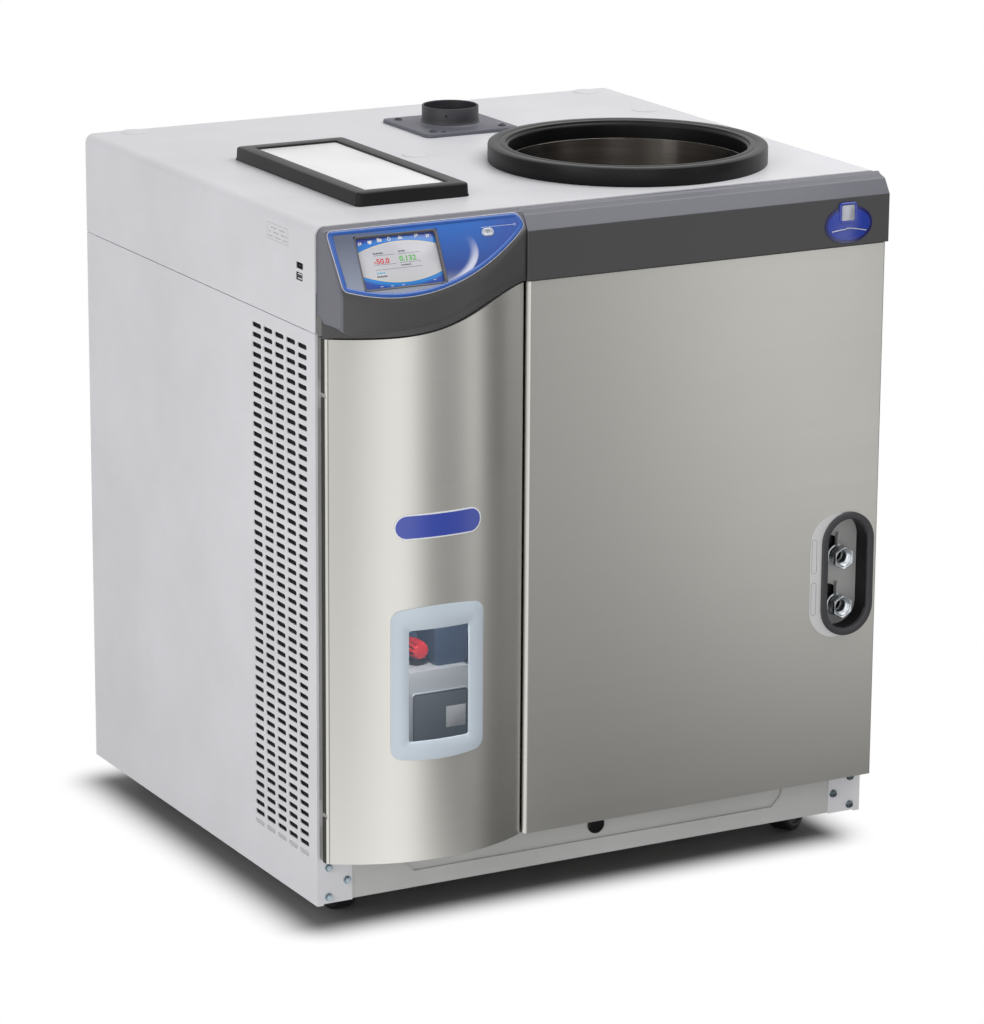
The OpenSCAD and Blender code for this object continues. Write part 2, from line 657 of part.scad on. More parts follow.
module port_spigot() color([0.30, 0.30, 0.32]) place() difference() {
  union() {
    up(body_h, body_h + 5) round_rect(port_x - 69, port_x + 69, port_y - 68, port_y + 68, 8);
    rod_z(port_x, port_y, body_h, body_h + 29.5, 38);
    rod_z(port_x, port_y, body_h, body_h + 7, 44);
  }
  rod_z(port_x, port_y, body_h - 1, body_h + 31, 35.5);
  for (x = [-52, 52], y = [-50, 50])
    rod_z(port_x + x, port_y + y, body_h - 1, body_h + 9, 2.6);
  translate([port_x, port_y, body_h + 20]) rotate([90, 0, -32])
    cylinder(r = 2, h = 60, $fn = 24);
}
module tray_gasket() color([0.06, 0.06, 0.07]) place() up(body_h, body_h + 17)
  difference() {
    round_rect(99, 256, 81, 432, 6);
    round_rect(121, 235, 102, 408, 2);
  }
module tray_plate() color([0.95, 0.95, 0.95]) place()
  up(body_h, body_h + 14) round_rect(121, 235, 102, 408, 2);
module usb_sockets() color([0.06, 0.06, 0.07]) place() translate([0, 0, usb_z])
  difference() {
    union() {
      box(sheet, 16, 28, 54, 0, 30);
      box(0.2, sheet + 1, 33, 50, 3.5, 13.5);
      box(0.2, sheet + 1, 31.5, 49.5, 18, 26);
    }
    for (z = [4.5, 10]) box(-1, 12, 34.5, 48.5, z, z + 2.6);
    difference() {
      box(-1, 12, 35, 46.5, 18.8, 25.2);
      box(-1, 12, 38, 43.5, 20.8, 23.2);
    }
  }
// Hexagon screws in the tabs
module panel_screws() color([0.80, 0.82, 0.84]) place()
  for (s = [0, 1]) translate([s * body_w, 0, 0]) mirror([s, 0, 0])
    for (p = [[15.7, 49], [41.5, 29], [15.7, 10.3]]) {
      translate([p[0], 0, p[1]]) rotate([90, 0, 0]) cylinder(r = 4.4, h = 4, $fn = 6);
      rod_y(p[0], p[1], -0.8, 0, 5.4);
    }

// ---- pump bay ------------------------------------------------------------

module pump_shelf() color([0.55, 0.55, 0.56]) place() {
  box(80, 276, 16, 560, shelf_z + 12, shelf_z + 14);
  for (x = [80, 274]) box(x, x + 2, 16, 560, pan_z + 2, shelf_z + 26);
  box(80, 276, 14, 16, pan_z + 2, shelf_z + 26);
}
module pump_case() color([0.72, 0.73, 0.75]) place() difference() {
  union() {
    along_y(pump_y0, pump_y0 + 150) round_rect(pump_x0, pump_x1, 90, 264, 10);
    for (x = [pump_x0 + 8, pump_x1 - 28], y = [pump_y0 + 10, pump_y0 + 110])
      box(x, x + 20, y, y + 26, shelf_z + 14, 92);
    for (z = [110 : 22 : 242]) box(pump_x0 - 4, pump_x1 + 4, pump_y0 + 30, pump_y0 + 140, z, z + 5);
    along_y(pump_y0 - 2.5, pump_y0) round_rect(pump_x0 + 52, pump_x1 - 8, 110, 236, 4);
    along_y(pump_y0 - 2.5, pump_y0) round_rect(pump_x0 + 10, pump_x0 + 46, 110, 222, 4);
    rod_z(hose_x, col_y, 260, 285, 19);
  }
  rod_z(hose_x, col_y, 240, 290, 12.5);
}
module pump_motor() color([0.16, 0.20, 0.27]) place() {
  // distribution head, motor barrel and its fan cowl
  along_y(pump_y0 + 12, pump_y0 + 110) round_rect(pump_x0 + 91, pump_x1 - 2, 264, 336, 8);
  rod_y((pump_x0 + pump_x1) / 2, 176, pump_y0 + 150, pump_y0 + 380, 72);
  rod_y((pump_x0 + pump_x1) / 2, 176, pump_y0 + 380, pump_y0 + 410, 76);
  for (a = [0 : 30 : 330]) translate([(pump_x0 + pump_x1) / 2, 0, 176])
    rotate([0, a, 0]) box(-1.5, 1.5, pump_y0 + 165, pump_y0 + 365, 70, 78);
  for (y = [pump_y0 + 190, pump_y0 + 340])
    box(pump_x0 + 14, pump_x1 - 14, y, y + 30, shelf_z + 14, 120);
  along_y(pump_y0 + 12, pump_y0 + 60) round_rect(pump_x0 + 6, pump_x0 + 55, 264, 296, 8);
  // boss and spindle of the gas ballast knob
  along_y(pump_y0 + 47, pump_y0 + 84) round_rect(knob_x - 12, knob_x + 12, 264, 302, 6);
  rod_y(knob_x, knob_z, pump_y0 + 27, pump_y0 + 48, 4);
}
module ballast_knob() color([0.75, 0.12, 0.14]) place()
  translate([knob_x, pump_y0 + 46.7, knob_z]) rotate([90, 0, 0]) difference() {
    union() {
      cylinder(r = 11, h = 34);
      for (a = [0 : 30 : 330]) rotate([0, 0, a]) translate([10, -1.6, 6]) cube([3, 3.2, 26]);
    }
    translate([0, 0, -1]) cylinder(r = 4 + fit, h = 21);
  }
module vacuum_hose() color([0.20, 0.20, 0.22]) place() {
  r = 17; bend = 60;
  translate([hose_x, col_y, 285]) linear_extrude(hose_z - bend - 285) ring2(r, 12.5);
  translate([hose_x + bend, col_y, hose_z - bend]) rotate([90, 0, 180])
    rotate_extrude(angle = 90) translate([bend, 0]) ring2(r, 12.5);
  translate([hose_x + bend, col_y, hose_z]) rotate([0, 90, 0])
    linear_extrude(col_x - chamber_r - sheet - hose_x - bend) ring2(r, 12.5);
}

// ---- cold side -----------------------------------------------------------

module compressor() color([0.08, 0.08, 0.09]) place() translate([comp_x, comp_y, 0]) {
  rotate_extrude($fn = 96) intersection() {
    round_rect(-88, 88, 75, 270, 40);
    rect2(0, 100, 60, 280);
  }
  translate([0, 0, 165]) cylinder(r = 91, h = 8);
  for (a = [0, 90]) rotate([0, 0, a]) translate([-105, -18, pan_z + 14]) cube([210, 36, 10]);
  for (a = [0 : 90 : 270]) rotate([0, 0, a]) translate([92, 0, pan_z + 2]) cylinder(r = 11, h = 14);
  translate([0, -92, 120]) cube([60, 30, 50]);
  translate([-40, 40, 230]) cylinder(r = 6, h = 70);
  translate([40, 40, 230]) cylinder(r = 5, h = 50);
}
// Finned block with its tubes and end plates
module condenser() color([0.62, 0.58, 0.52]) place() translate([0, cond_y, 0]) {
  x0 = fan_x - 150; x1 = fan_x + 150;
  for (x = [x0 + 12 : 12 : x1 - 12]) box(x, x + 0.8, 4, 42, 74, 366);
  for (x = [x0, x1 - 2]) box(x, x + 2, 0, 46 - weld, pan_z + 2, 372);
  for (y = [14, 32], z = [95 : 50 : 345]) rod_x(y, z, x0 - 6, x1 + 6, 5);
}
// Fan shroud behind the condenser, and the motor on four legs from it
module fan_motor() color([0.20, 0.20, 0.22]) place() translate([0, cond_y, 0]) {
  difference() {
    union() {
      box(fan_x - 150, fan_x + 150, 46, 48, pan_z + 2, 372);
      rod_y(fan_x, fan_z, 46, 76, fan_r + 10);
    }
    rod_y(fan_x, fan_z, 44, 78, fan_r + 8);
  }
  rod_y(fan_x, fan_z, 84, 120, 36);
  rod_y(fan_x, fan_z, 56, 86, 4);
  for (a = [0 : 90 : 270]) translate([fan_x, 0, fan_z]) rotate([0, a + 45, 0])
    difference() {
      box(-6, 6, 76 + weld, 94, 30, fan_r + 11);
      box(-7, 7, 70, 86, 20, fan_r + 7.6);
    }
}
module condenser_fan() color([0.30, 0.30, 0.32]) place()
  translate([fan_x, cond_y + 80, fan_z]) rotate([90, 0, 0]) difference() {
    union() {
      cylinder(r = 26, h = 24);
      intersection() {
        linear_extrude(24) ring2(fan_r, 20);
        for (a = [0 : 72 : 288]) rotate([0, 0, a])
          translate([70, 0, 12]) rotate([28, 0, 0]) cube([108, 44, 2], center = true);
      }
    }
    translate([0, 0, -1]) cylinder(r = 4 + fit, h = 40);
  }
module power_inlet() color([0.06, 0.06, 0.07]) place() difference() {
  union() {
    box(90, 130, body_d - 30, body_d, 560, 600);
    box(84, 136, body_d, body_d + rear_out, 554, 606);
  }
  box(97, 123, body_d - 16, body_d + rear_out + 1, 567, 593);
  for (p = [[105, 574], [115, 574], [110, 586]]) rod_y(p[0], p[1], body_d - 24, body_d - 10, 2);
}

// ---- casters -------------------------------------------------------------

module at_caster(i) place() translate([caster_xy[i][0], caster_xy[i][1], 0])
  rotate([0, 0, caster_xy[i][2]]) children();
hub_z = wheel_r - ground;       // height of the wheel centre
crown_z = hub_z + wheel_r + 5;  // underside of the fork crown
module caster_plates() color([0.60, 0.61, 0.63])
  for (i = [0 : 3]) at_caster(i) difference() {
    union() {
      translate([-32, -32, pan_z - 3]) cube([64, 64, 3]);
      translate([0, 0, crown_z + 5.4]) cylinder(r = 22, h = pan_z - crown_z - 5.4);
    }
    translate([0, 0, crown_z]) cylinder(r = 6 + fit, h = 30);
  }
module caster_fork(i) color([0.62, 0.63, 0.65]) at_caster(i) difference() {
  union() {
    translate([0, 0, crown_z]) cylinder(r = 22, h = 5);
    translate([0, 0, crown_z]) cylinder(r = 6, h = pan_z - 0.3 - crown_z);
    for (s = [-1, 1]) {
      x0 = s > 0 ? wheel_w / 2 + 1.5 : -wheel_w / 2 - 4;
      along_x(x0, x0 + 2.5) {
        polygon([[-16, crown_z + 5], [16, crown_z + 5], [trail + 9, hub_z], [trail - 9, hub_z]]);
        translate([trail, hub_z]) circle(9);
      }
      translate([x0, -16, crown_z]) cube([2.5, 32, 5]);
    }
  }
  rod_x(trail, hub_z, -40, 40, 4);
}
module caster_axle(i) color([0.75, 0.76, 0.78]) at_caster(i) {
  rod_x(trail, hub_z, -wheel_w / 2 - 6, wheel_w / 2 + 6, 4);
  for (x = [-wheel_w / 2 - 7.5, wheel_w / 2 + 4]) rod_x(trail, hub_z, x, x + 3.5, 6.5);
}
module caster_wheel(i) color([0.10, 0.10, 0.11]) at_caster(i)
  translate([0, trail, hub_z]) rotate([0, 90, 0]) rotate_extrude($fn = 96)
    difference() {
      round_rect(-wheel_r, wheel_r, -wheel_w / 2, wheel_w / 2, 5);
      rect2(-100, 4 + fit, -50, 50);
      rect2(13, wheel_r - 9, wheel_w / 2 - 4, wheel_w);
      rect2(13, wheel_r - 9, -wheel_w, -wheel_w / 2 + 4);
    }

// ---- nodes ---------------------------------------------------------------

chassis();
left_side_panel();
right_side_panel();
rear_panel();
top_cover();
toe_plug();
panel_screws();
fascia_pod();
fascia_band();
control_overlay();
screen_frame();
touchscreen();
power_button();
panel_badge();
door_skin();
door_frame();
window_frame();
window_pane();
door_badge();
hinge_arms();
hinge_pins();
door_catch();
front_panel();
drain_pocket();
drain_trim();
drain_label_plate();
drain_bracket();
drain_couplings();
collector_chamber();
chamber_insulation();
collector_coil();
collector_gasket();
port_spigot();
tray_gasket();
tray_plate();
hole_plugs();
usb_sockets();
pump_case();
pump_motor();
ballast_knob();
pump_shelf();
vacuum_hose();
compressor();
condenser();
condenser_fan();
fan_motor();
power_inlet();
caster_plates();
caster_fork(0);  // caster_fork_fl
caster_fork(1);  // caster_fork_fr
caster_fork(2);  // caster_fork_rl
caster_fork(3);  // caster_fork_rr
caster_axle(0);  // caster_axle_fl
caster_axle(1);  // caster_axle_fr
caster_axle(2);  // caster_axle_rl
caster_axle(3);  // caster_axle_rr
caster_wheel(0);  // caster_wheel_fl
caster_wheel(1);  // caster_wheel_fr
caster_wheel(2);  // caster_wheel_rl
caster_wheel(3);  // caster_wheel_rr
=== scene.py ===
"""Looks of a console freeze dryer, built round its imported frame.

Lengths inside the classes are millimetres in the cabinet's own axes: X from
the left side, Y from the front rail and Z from the lower edge of the panels.
"""

import logging
import math
from dataclasses import dataclass
from enum import Enum
from functools import partial
from typing import Callable, Optional, Sequence, Union

import bmesh
import bpy
import numpy as np
from mathutils import Matrix, Vector


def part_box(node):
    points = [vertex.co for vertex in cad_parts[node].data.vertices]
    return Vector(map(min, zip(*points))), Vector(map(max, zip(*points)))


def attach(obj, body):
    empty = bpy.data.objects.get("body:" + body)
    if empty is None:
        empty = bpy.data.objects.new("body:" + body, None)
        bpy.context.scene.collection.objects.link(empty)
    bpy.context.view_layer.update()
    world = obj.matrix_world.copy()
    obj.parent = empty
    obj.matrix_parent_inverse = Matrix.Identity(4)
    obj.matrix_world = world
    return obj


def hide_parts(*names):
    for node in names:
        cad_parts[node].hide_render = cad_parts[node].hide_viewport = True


Array = np.ndarray
Place = Callable[[Array], Array]
Outline = Callable[[float], Array]
Section = Sequence[tuple[float, float]]
Tint = tuple[float, float, float]
Material = bpy.types.Material
Socket = bpy.types.NodeSocket
Value = Union[float, Sequence[float], Socket]

LOG = logging.getLogger("freeze_dryer")
MM = 0.001
UV_SCALE = 0.01
WELD = 2e-6
BEVEL_FROM = 28

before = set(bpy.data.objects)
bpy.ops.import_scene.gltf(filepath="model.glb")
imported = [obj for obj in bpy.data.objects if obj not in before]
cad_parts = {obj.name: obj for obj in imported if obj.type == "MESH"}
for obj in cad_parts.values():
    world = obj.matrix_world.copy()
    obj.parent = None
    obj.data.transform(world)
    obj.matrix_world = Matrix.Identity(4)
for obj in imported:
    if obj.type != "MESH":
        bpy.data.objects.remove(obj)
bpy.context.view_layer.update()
ORIGIN = np.array(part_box("left_side_panel")[0]) / MM
WIDTH = (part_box("right_side_panel")[1][0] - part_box("left_side_panel")[0][0]) / MM
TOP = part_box("top_cover")[1][2] / MM - ORIGIN[2]


# ---- shapes ----


@dataclass(frozen=True)
class Wall:
    """Local (x, z, out) on a flat wall that faces the front."""

    y: float

    def __call__(self, local: Array) -> Array:
        """Places x across, z up and out towards the front."""
        x, z, out = local.T
        return np.stack([x, self.y - out, z], -1)


@dataclass(frozen=True)
class Deck:
    """Local (x, y, up) above a level; at 0 they are the cabinet's own axes."""

    z: float

    def __call__(self, local: Array) -> Array:
        """Places x and y in plan, and up above the level."""
        return local + np.array([0.0, 0.0, self.z])


@dataclass(frozen=True)
class Bow:
    """Local (x, z, out) on an upright cylinder that bows to the front.

    The angle is arcsin((x - centre) / radius); the point stands out from the
    axis by radius + out along that angle.
    """

    x: float
    y: float
    radius: float

    def __call__(self, local: Array) -> Array:
        """Wraps x round the cylinder.

        Args:
            local: Points of shape (n, 3).

        Returns:
            The placed points, of the same shape.
        """
        x, z, out = local.T
        turn = np.arcsin(np.clip((x - self.x) / self.radius, -1.0, 1.0))
        reach = self.radius + out
        return np.stack([self.x + reach * np.sin(turn), self.y - reach * np.cos(turn), z], -1)

    def front(self, x: Array, out: float = 0.0) -> Array:
        """Y of the bow at x: centre - sqrt((radius + out)^2 - (x - centre)^2)."""
        return self.y - np.sqrt((self.radius + out) ** 2 - (x - self.x) ** 2)


@dataclass(frozen=True)
class Slope:
    """Local (u, v, out) on the tilted face: u across, v up the slope."""

    y: float
    z: float
    tilt: float

    def __call__(self, local: Array) -> Array:
        """Turns the face back by its tilt about its top line.

        Args:
            local: Points of shape (n, 3).

        Returns:
            The placed points, of the same shape.
        """
        u, v, out = local.T
        c, s = math.cos(self.tilt), math.sin(self.tilt)
        return np.stack([u, self.y + v * c - out * s, self.z + v * s + out * c], -1)

    def up_to(self, y: Array) -> Array:
        """Place v up the slope at which the face stands at y."""
        return (y - self.y) / math.cos(self.tilt)


@dataclass(frozen=True)
class Spindle:
    """Local (a, b, along) about an axis through a point."""

    centre: tuple[float, float, float]
    axis: tuple[float, float, float] = (0.0, 0.0, 1.0)

    def __call__(self, local: Array) -> Array:
        """Carries the local axes to a right-handed set about the spindle.

        Args:
            local: Points of shape (n, 3).

        Returns:
            The placed points, of the same shape.
        """
        w = Vector(self.axis).normalized()
        upright = abs(w.z) >= 0.9
        u = Vector((1, 0, 0)) if upright else Vector((0, 0, 1)).cross(w).normalized()
        return local @ np.array([u, w.cross(u), w]) + np.array(self.centre)


def rounded(x0: float, x1: float, y0: float, y1: float, radius: float,
            arc: int = 6, side: int = 1) -> Array:
    """Closed outline of a rectangle with quarter-circle corners.

    Args:
        x0, x1, y0, y1: Sides of the rectangle.
        radius: Radius of the corners.
        arc: Steps round each corner.
        side: Points between two corners.

    Returns:
        Points of shape (4 * (arc + 1 + side), 2), counter-clockwise.
    """
    cx = np.array([x1 - radius, x0 + radius, x0 + radius, x1 - radius])[:, None]
    cy = np.array([y1 - radius, y1 - radius, y0 + radius, y0 + radius])[:, None]
    turn = np.linspace(0, np.pi / 2, arc + 1)[None] + np.arange(4)[:, None] * np.pi / 2
    px, py = cx + radius * np.cos(turn), cy + radius * np.sin(turn)
    part = np.linspace(0, 1, side + 2)[None, 1:-1]
    sx, sy = (p[:, -1:] * (1 - part) + np.roll(p[:, :1], -1, 0) * part for p in (px, py))
    return np.stack([np.hstack([px, sx]), np.hstack([py, sy])], -1).reshape(-1, 2)


def framed(x0: float, x1: float, y0: float, y1: float, radius: float, arc: int = 6,
           side: int = 1, shrink: float = 1.0, least: float = 0.0) -> Outline:
    """Rounded rectangles, each drawn in by its inset i.

    The sides move in by i, and the corners' radius is radius - shrink * i.

    Args:
        x0, x1, y0, y1: Sides at no inset.
        radius: Radius of the corners at no inset.
        arc: Steps round each corner.
        side: Points between two corners.
        shrink: Fall of the radius per inset.
        least: Smallest radius.

    Returns:
        The outline as a function of the inset.
    """
    return lambda i: rounded(x0 + i, x1 - i, y0 + i, y1 - i, max(radius - shrink * i, least),
                             arc, side)


def racetrack(x: float, z: float, wide: float, high: float, inset: float = 0.0) -> Array:
    """Upright outline with half-circle ends, drawn in by inset."""
    a, b = wide / 2 - inset, high / 2 - inset
    return rounded(x - a, x + a, z - b, z + b, a - 0.01, arc=16)


def circle(radius: float, count: int = 96, x: float = 0.0, y: float = 0.0) -> Array:
    """Points (x + r cos t, y + r sin t) for t once round."""
    t = np.linspace(0, 2 * np.pi, count, endpoint=False)
    return np.stack([x + radius * np.cos(t), y + radius * np.sin(t)], -1)


def oval(x: float, y: float, a: float, b: float) -> Outline:
    """Ellipse (x + (a - i) cos t, y + (b - i) sin t), drawn in by its inset i."""
    return lambda i: circle(1.0, 72) * np.array([a - i, b - i]) + np.array([x, y])


def soften(corners: Array, radii: Array, steps: int = 6) -> Array:
    """Rounds the corners of a closed polygon.

    Each corner becomes the quadratic curve (1-t)^2 A + 2t(1-t) P + t^2 B,
    where A and B lie one radius away from the corner P along its two sides.

    Args:
        corners: Polygon of shape (n, 2).
        radii: Radius at each corner.
        steps: Steps round each corner.

    Returns:
        Points of shape (n * (steps + 1), 2).
    """
    a, b = (corners + side / np.linalg.norm(side, axis=1, keepdims=True) * radii[:, None]
            for side in (np.roll(corners, 1, 0) - corners, np.roll(corners, -1, 0) - corners))
    t = np.linspace(0, 1, steps + 1)[None, :, None]
    curve = (1 - t) ** 2 * a[:, None] + 2 * t * (1 - t) * corners[:, None] + t ** 2 * b[:, None]
    return curve.reshape(-1, 2)


def reach_along(path: Array) -> Array:
    """Arc length from the first point of a path to each of its points."""
    return np.concatenate([[0], np.cumsum(np.linalg.norm(np.diff(path, axis=0), axis=1))])


def resample(loop: Array, count: int) -> Array:
    """Points at equal steps of arc length round a closed outline.

    Args:
        loop: Outline of shape (n, 2).
        count: Points wanted.

    Returns:
        Points of shape (count, 2).
    """
    ring = np.vstack([loop, loop[:1]])
    reach = reach_along(ring)
    at = np.linspace(0, reach[-1], count, endpoint=False)
    return np.stack([np.interp(at, reach, ring[:, k]) for k in (0, 1)], -1)


def drawn_in(loop: Array, inset: float) -> Array:
    """Moves a counter-clockwise outline inwards along its own normals.

    Args:
        loop: Outline of shape (n, 2).
        inset: Distance, or less than 0 to move outwards.

    Returns:
        The moved outline.
    """
    along = np.roll(loop, -1, 0) - np.roll(loop, 1, 0)
    along /= np.linalg.norm(along, axis=1, keepdims=True) + 1e-9
    return loop + inset * np.stack([-along[:, 1], along[:, 0]], -1)


def at_height(loop: Array, height: float) -> Array:
    """Adds a constant third coordinate to an outline."""
    return np.column_stack([loop, np.full(len(loop), height)])


def lathe(profile: Array, count: int = 64) -> Array:
    """Surface (r cos t, r sin t, h) of a profile of (r, h) turned once round.

    Args:
        profile: Points of shape (n, 2).
        count: Steps round.

    Returns:
        Grid of shape (n, count, 3).
    """
    t = np.linspace(0, 2 * np.pi, count, endpoint=False)
    r, h = np.asarray(profile, float).T
    return np.stack([r[:, None] * np.cos(t), r[:, None] * np.sin(t),
                     np.repeat(h[:, None], count, 1)], -1)


def tube(path: Array, radius: float, sides: int = 12) -> Array:
    """Circle of a radius carried along a path.

    At each point of the path the circle lies across the tangent, in the plane
    of two unit vectors found with cross products from a fixed direction.

    Args:
        path: Points of shape (n, 3).
        radius: Radius of the circle.
        sides: Steps round the circle.

    Returns:
        Grid of shape (n, sides, 3).
    """
    tangent = np.gradient(path, axis=0)
    tangent /= np.linalg.norm(tangent, axis=1, keepdims=True)
    steep = abs(tangent[:, 2]).max() >= 0.95
    u = np.cross(tangent, [0.31, 0.93, 0.2] if steep else [0.13, 0.17, 0.98])
    u /= np.linalg.norm(u, axis=1, keepdims=True)
    v = np.cross(tangent, u)
    t = np.linspace(0, 2 * np.pi, sides, endpoint=False)[None, :, None]
    return path[:, None] + radius * (np.cos(t) * u[:, None] + np.sin(t) * v[:, None])


class Shell:
    """Surfaces gathered in local axes, made into one placed object."""

    def __init__(self, place: Place = Deck(0.0)) -> None:
        """Starts an empty shell that is carried by a placement."""
        self.place = place
        self.points: list[Array] = []
        self.placed: list[Array] = []
        self.faces: list[list[int]] = []
        self.tones: list[int] = []
        self.count = 0

    def _add(self, local: Array, place: Optional[Place]) -> int:
        """Stores points.

        Args:
            local: Points of shape (n, 3).
            place: Their placement, or None for the shell's own.

        Returns:
            The index of the first.
        """
        base = self.count
        self.points.append(local)
        self.placed.append((place or self.place)(local))
        self.count += len(local)
        return base

    def grid(self, points: Array, wrap_u: bool = False, wrap_v: bool = False,
             keep: Optional[Array] = None, place: Optional[Place] = None,
             tone: Union[int, Array] = 0) -> "Shell":
        """Adds a surface sampled at rows v and columns u.

        Args:
            points: Grid of shape (rows, columns, 3).
            wrap_u: Joins the last column to the first.
            wrap_v: Joins the last row to the first.
            keep: Which cells become faces.
            place: Another placement for this surface alone.
            tone: Number of the finish, for all cells or for each.

        Returns:
            The shell itself.
        """
        rows, cols = points.shape[:2]
        base = self._add(points.reshape(-1, 3), place)
        r, c = np.meshgrid(np.arange(rows if wrap_v else rows - 1),
                           np.arange(cols if wrap_u else cols - 1), indexing="ij")
        r2, c2 = (r + 1) % rows, (c + 1) % cols
        quads = np.stack([r * cols + c, r * cols + c2, r2 * cols + c2, r2 * cols + c], -1)
        tones = np.broadcast_to(tone, quads.shape[:2])
        keep = np.ones(quads.shape[:2], bool) if keep is None else keep
        self.tones += [0] * (len(self.faces) - len(self.tones)) + tones[keep].tolist()
        self.faces += (quads[keep] + base).tolist()
        return self

    def sheet(self, points: Array, across: Array, **how: Array) -> "Shell":
        """Adds a bent sheet, whose map is the reach across and the height.

        Args:
            points: Grid in the cabinet's axes, of shape (rows, columns, 3).
            across: Reach across of each column.
            **how: Further settings of grid.

        Returns:
            The shell itself.
        """
        up = points[..., 2]
        local = np.stack([np.broadcast_to(across, up.shape), up, np.zeros_like(up)], -1)
        return self.grid(local, place=lambda _: points.reshape(-1, 3), **how)

    def loft(self, loops: Sequence[Array], closed: bool = False, caps: bool = True,
             place: Optional[Place] = None) -> "Shell":
        """Joins outlines of equal count in order.

        Args:
            loops: Outlines of shape (n, 3).
            closed: Joins the last outline to the first, as in a frame.
            caps: Closes both ends, where the outlines aren't joined round.
            place: Another placement for this surface alone.

        Returns:
            The shell itself.
        """
        stack = np.stack(loops)
        base = self.count
        self.grid(stack, wrap_u=True, wrap_v=closed, place=place)
        if caps and not closed:
            n = stack.shape[1]
            last = base + (stack.shape[0] - 1) * n
            self.faces.append(list(range(base + n - 1, base - 1, -1)))
            self.faces.append(list(range(last, last + n)))
        return self

    def swept(self, outline: Outline, section: Section, closed: bool = False,
              caps: bool = True, place: Optional[Place] = None) -> "Shell":
        """Carries a section of (inset, height) round an outline."""
        return self.loft([at_height(outline(i), h) for i, h in section], closed, caps, place)

    def rim(self, outline: Outline, section: Section) -> "Shell":
        """Carries a closed section of (inset, height) round an outline."""
        return self.swept(outline, section, closed=True)

    def plate(self, outline: Outline, low: float, high: float, edge: float = 0.3) -> "Shell":
        """Adds a solid plate whose upper edge is eased by a small fillet."""
        return self.swept(outline, [(0.0, low), (0.0, high - edge),
                                    (edge * 0.3, high - edge * 0.3), (edge, high)])

    def turned(self, profile: Section, closed: bool = False, count: int = 64,
               place: Optional[Place] = None) -> "Shell":
        """Adds a turned surface from a profile of (radius, height)."""
        return self.grid(lathe(np.array(profile), count), wrap_u=True, wrap_v=closed, place=place)

    def block(self, x0: float, x1: float, y0: float, y1: float, z0: float, z1: float) -> "Shell":
        """Adds a small square-cornered block."""
        loop = np.array([[x0, y0], [x1, y0], [x1, y1], [x0, y1]], float)
        return self.loft([at_height(loop, z0), at_height(loop, z1)])

    def build(self, name: str, finish: Material, body: str, slot: str,
              replaces: Sequence[str] = (), smooth: float = 32.0, bevel: float = 0.0,
              wall: float = 0.0, closed: bool = True, segments: int = 2,
              others: Sequence[Material] = ()) -> bpy.types.Object:
        """Makes the object, dresses it and hangs it on its body.

        Args:
            name: Piece name.
            finish: Material of the whole piece.
            body: CAD body that carries it.
            slot: Material slot of the record; not used.
            replaces: CAD nodes that it stands for.
            smooth: Angle in degrees under which edges shade smoothly.
            bevel: Width in millimetres of a rounded edge, or 0.
            wall: Thickness in millimetres given to an open sheet, or 0.
            closed: Whether the normals can be turned outwards as a closed form.
            segments: Steps of the rounded edge.
            others: Finishes of the faces with tone 1 and up.

        Returns:
            The finished object.
        """
        mesh = bpy.data.meshes.new(name)
        placed = (np.vstack(self.placed) + ORIGIN) * MM
        mesh.from_pydata(placed.tolist(), [], self.faces)
        for material in (finish, *others):
            mesh.materials.append(material)
        tones = self.tones + [0] * (len(self.faces) - len(self.tones))
        mesh.polygons.foreach_set("material_index", tones)
        corner = np.zeros(len(mesh.loops), np.int32)
        mesh.loops.foreach_get("vertex_index", corner)
        across = (np.vstack(self.points)[corner, :2] * UV_SCALE).astype(np.float32)
        mesh.uv_layers.new(name="across").data.foreach_set("uv", across.ravel())
        work = bmesh.new()
        work.from_mesh(mesh)
        bmesh.ops.remove_doubles(work, verts=work.verts, dist=WELD)
        if closed:
            bmesh.ops.recalc_face_normals(work, faces=work.faces)
        work.to_mesh(mesh)
        work.free()
        mesh.shade_smooth()
        mesh.set_sharp_from_angle(angle=math.radians(smooth))
        # an edge with one face alone is sharp as well
        used, sharp = np.zeros(len(mesh.loops), np.int32), np.zeros(len(mesh.edges), bool)
        mesh.loops.foreach_get("edge_index", used)
        mesh.edges.foreach_get("use_edge_sharp", sharp)
        sharp |= np.bincount(used, minlength=len(sharp)) == 1
        mesh.edges.foreach_set("use_edge_sharp", sharp)
        piece = linked(name, mesh)
        if wall:
            solid = piece.modifiers.new("wall", "SOLIDIFY")
            solid.thickness, solid.offset = wall * MM, -1.0
        if bevel:
            ease = piece.modifiers.new("eased edges", "BEVEL")
            ease.width, ease.segments = bevel * MM, segments
            ease.limit_method, ease.angle_limit = "ANGLE", math.radians(BEVEL_FROM)
            ease.harden_normals = True
        return hang(piece, body, replaces)


def linked(name: str, data: bpy.types.ID) -> bpy.types.Object:
    """Makes an object and links it to the scene.

    Args:
        name: Its name.
        data: Its mesh, curve, lamp or camera.

    Returns:
        The object.
    """
    made = bpy.data.objects.new(name, data)
    bpy.context.scene.collection.objects.link(made)
    return made


def hang(piece: bpy.types.Object, body: str,
         replaces: Sequence[str] = ()) -> bpy.types.Object:
    """Rides a piece on its body and reports it.

    Args:
        piece: The finished object.
        body: CAD body that carries it.
        replaces: CAD nodes that it stands for.

    Returns:
        The piece.
    """
    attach(piece, body)
    if replaces:
        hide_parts(*replaces)
    LOG.info("%s on %s: %d faces", piece.name, body, len(piece.data.polygons))
    return piece


# ---- node trees ----


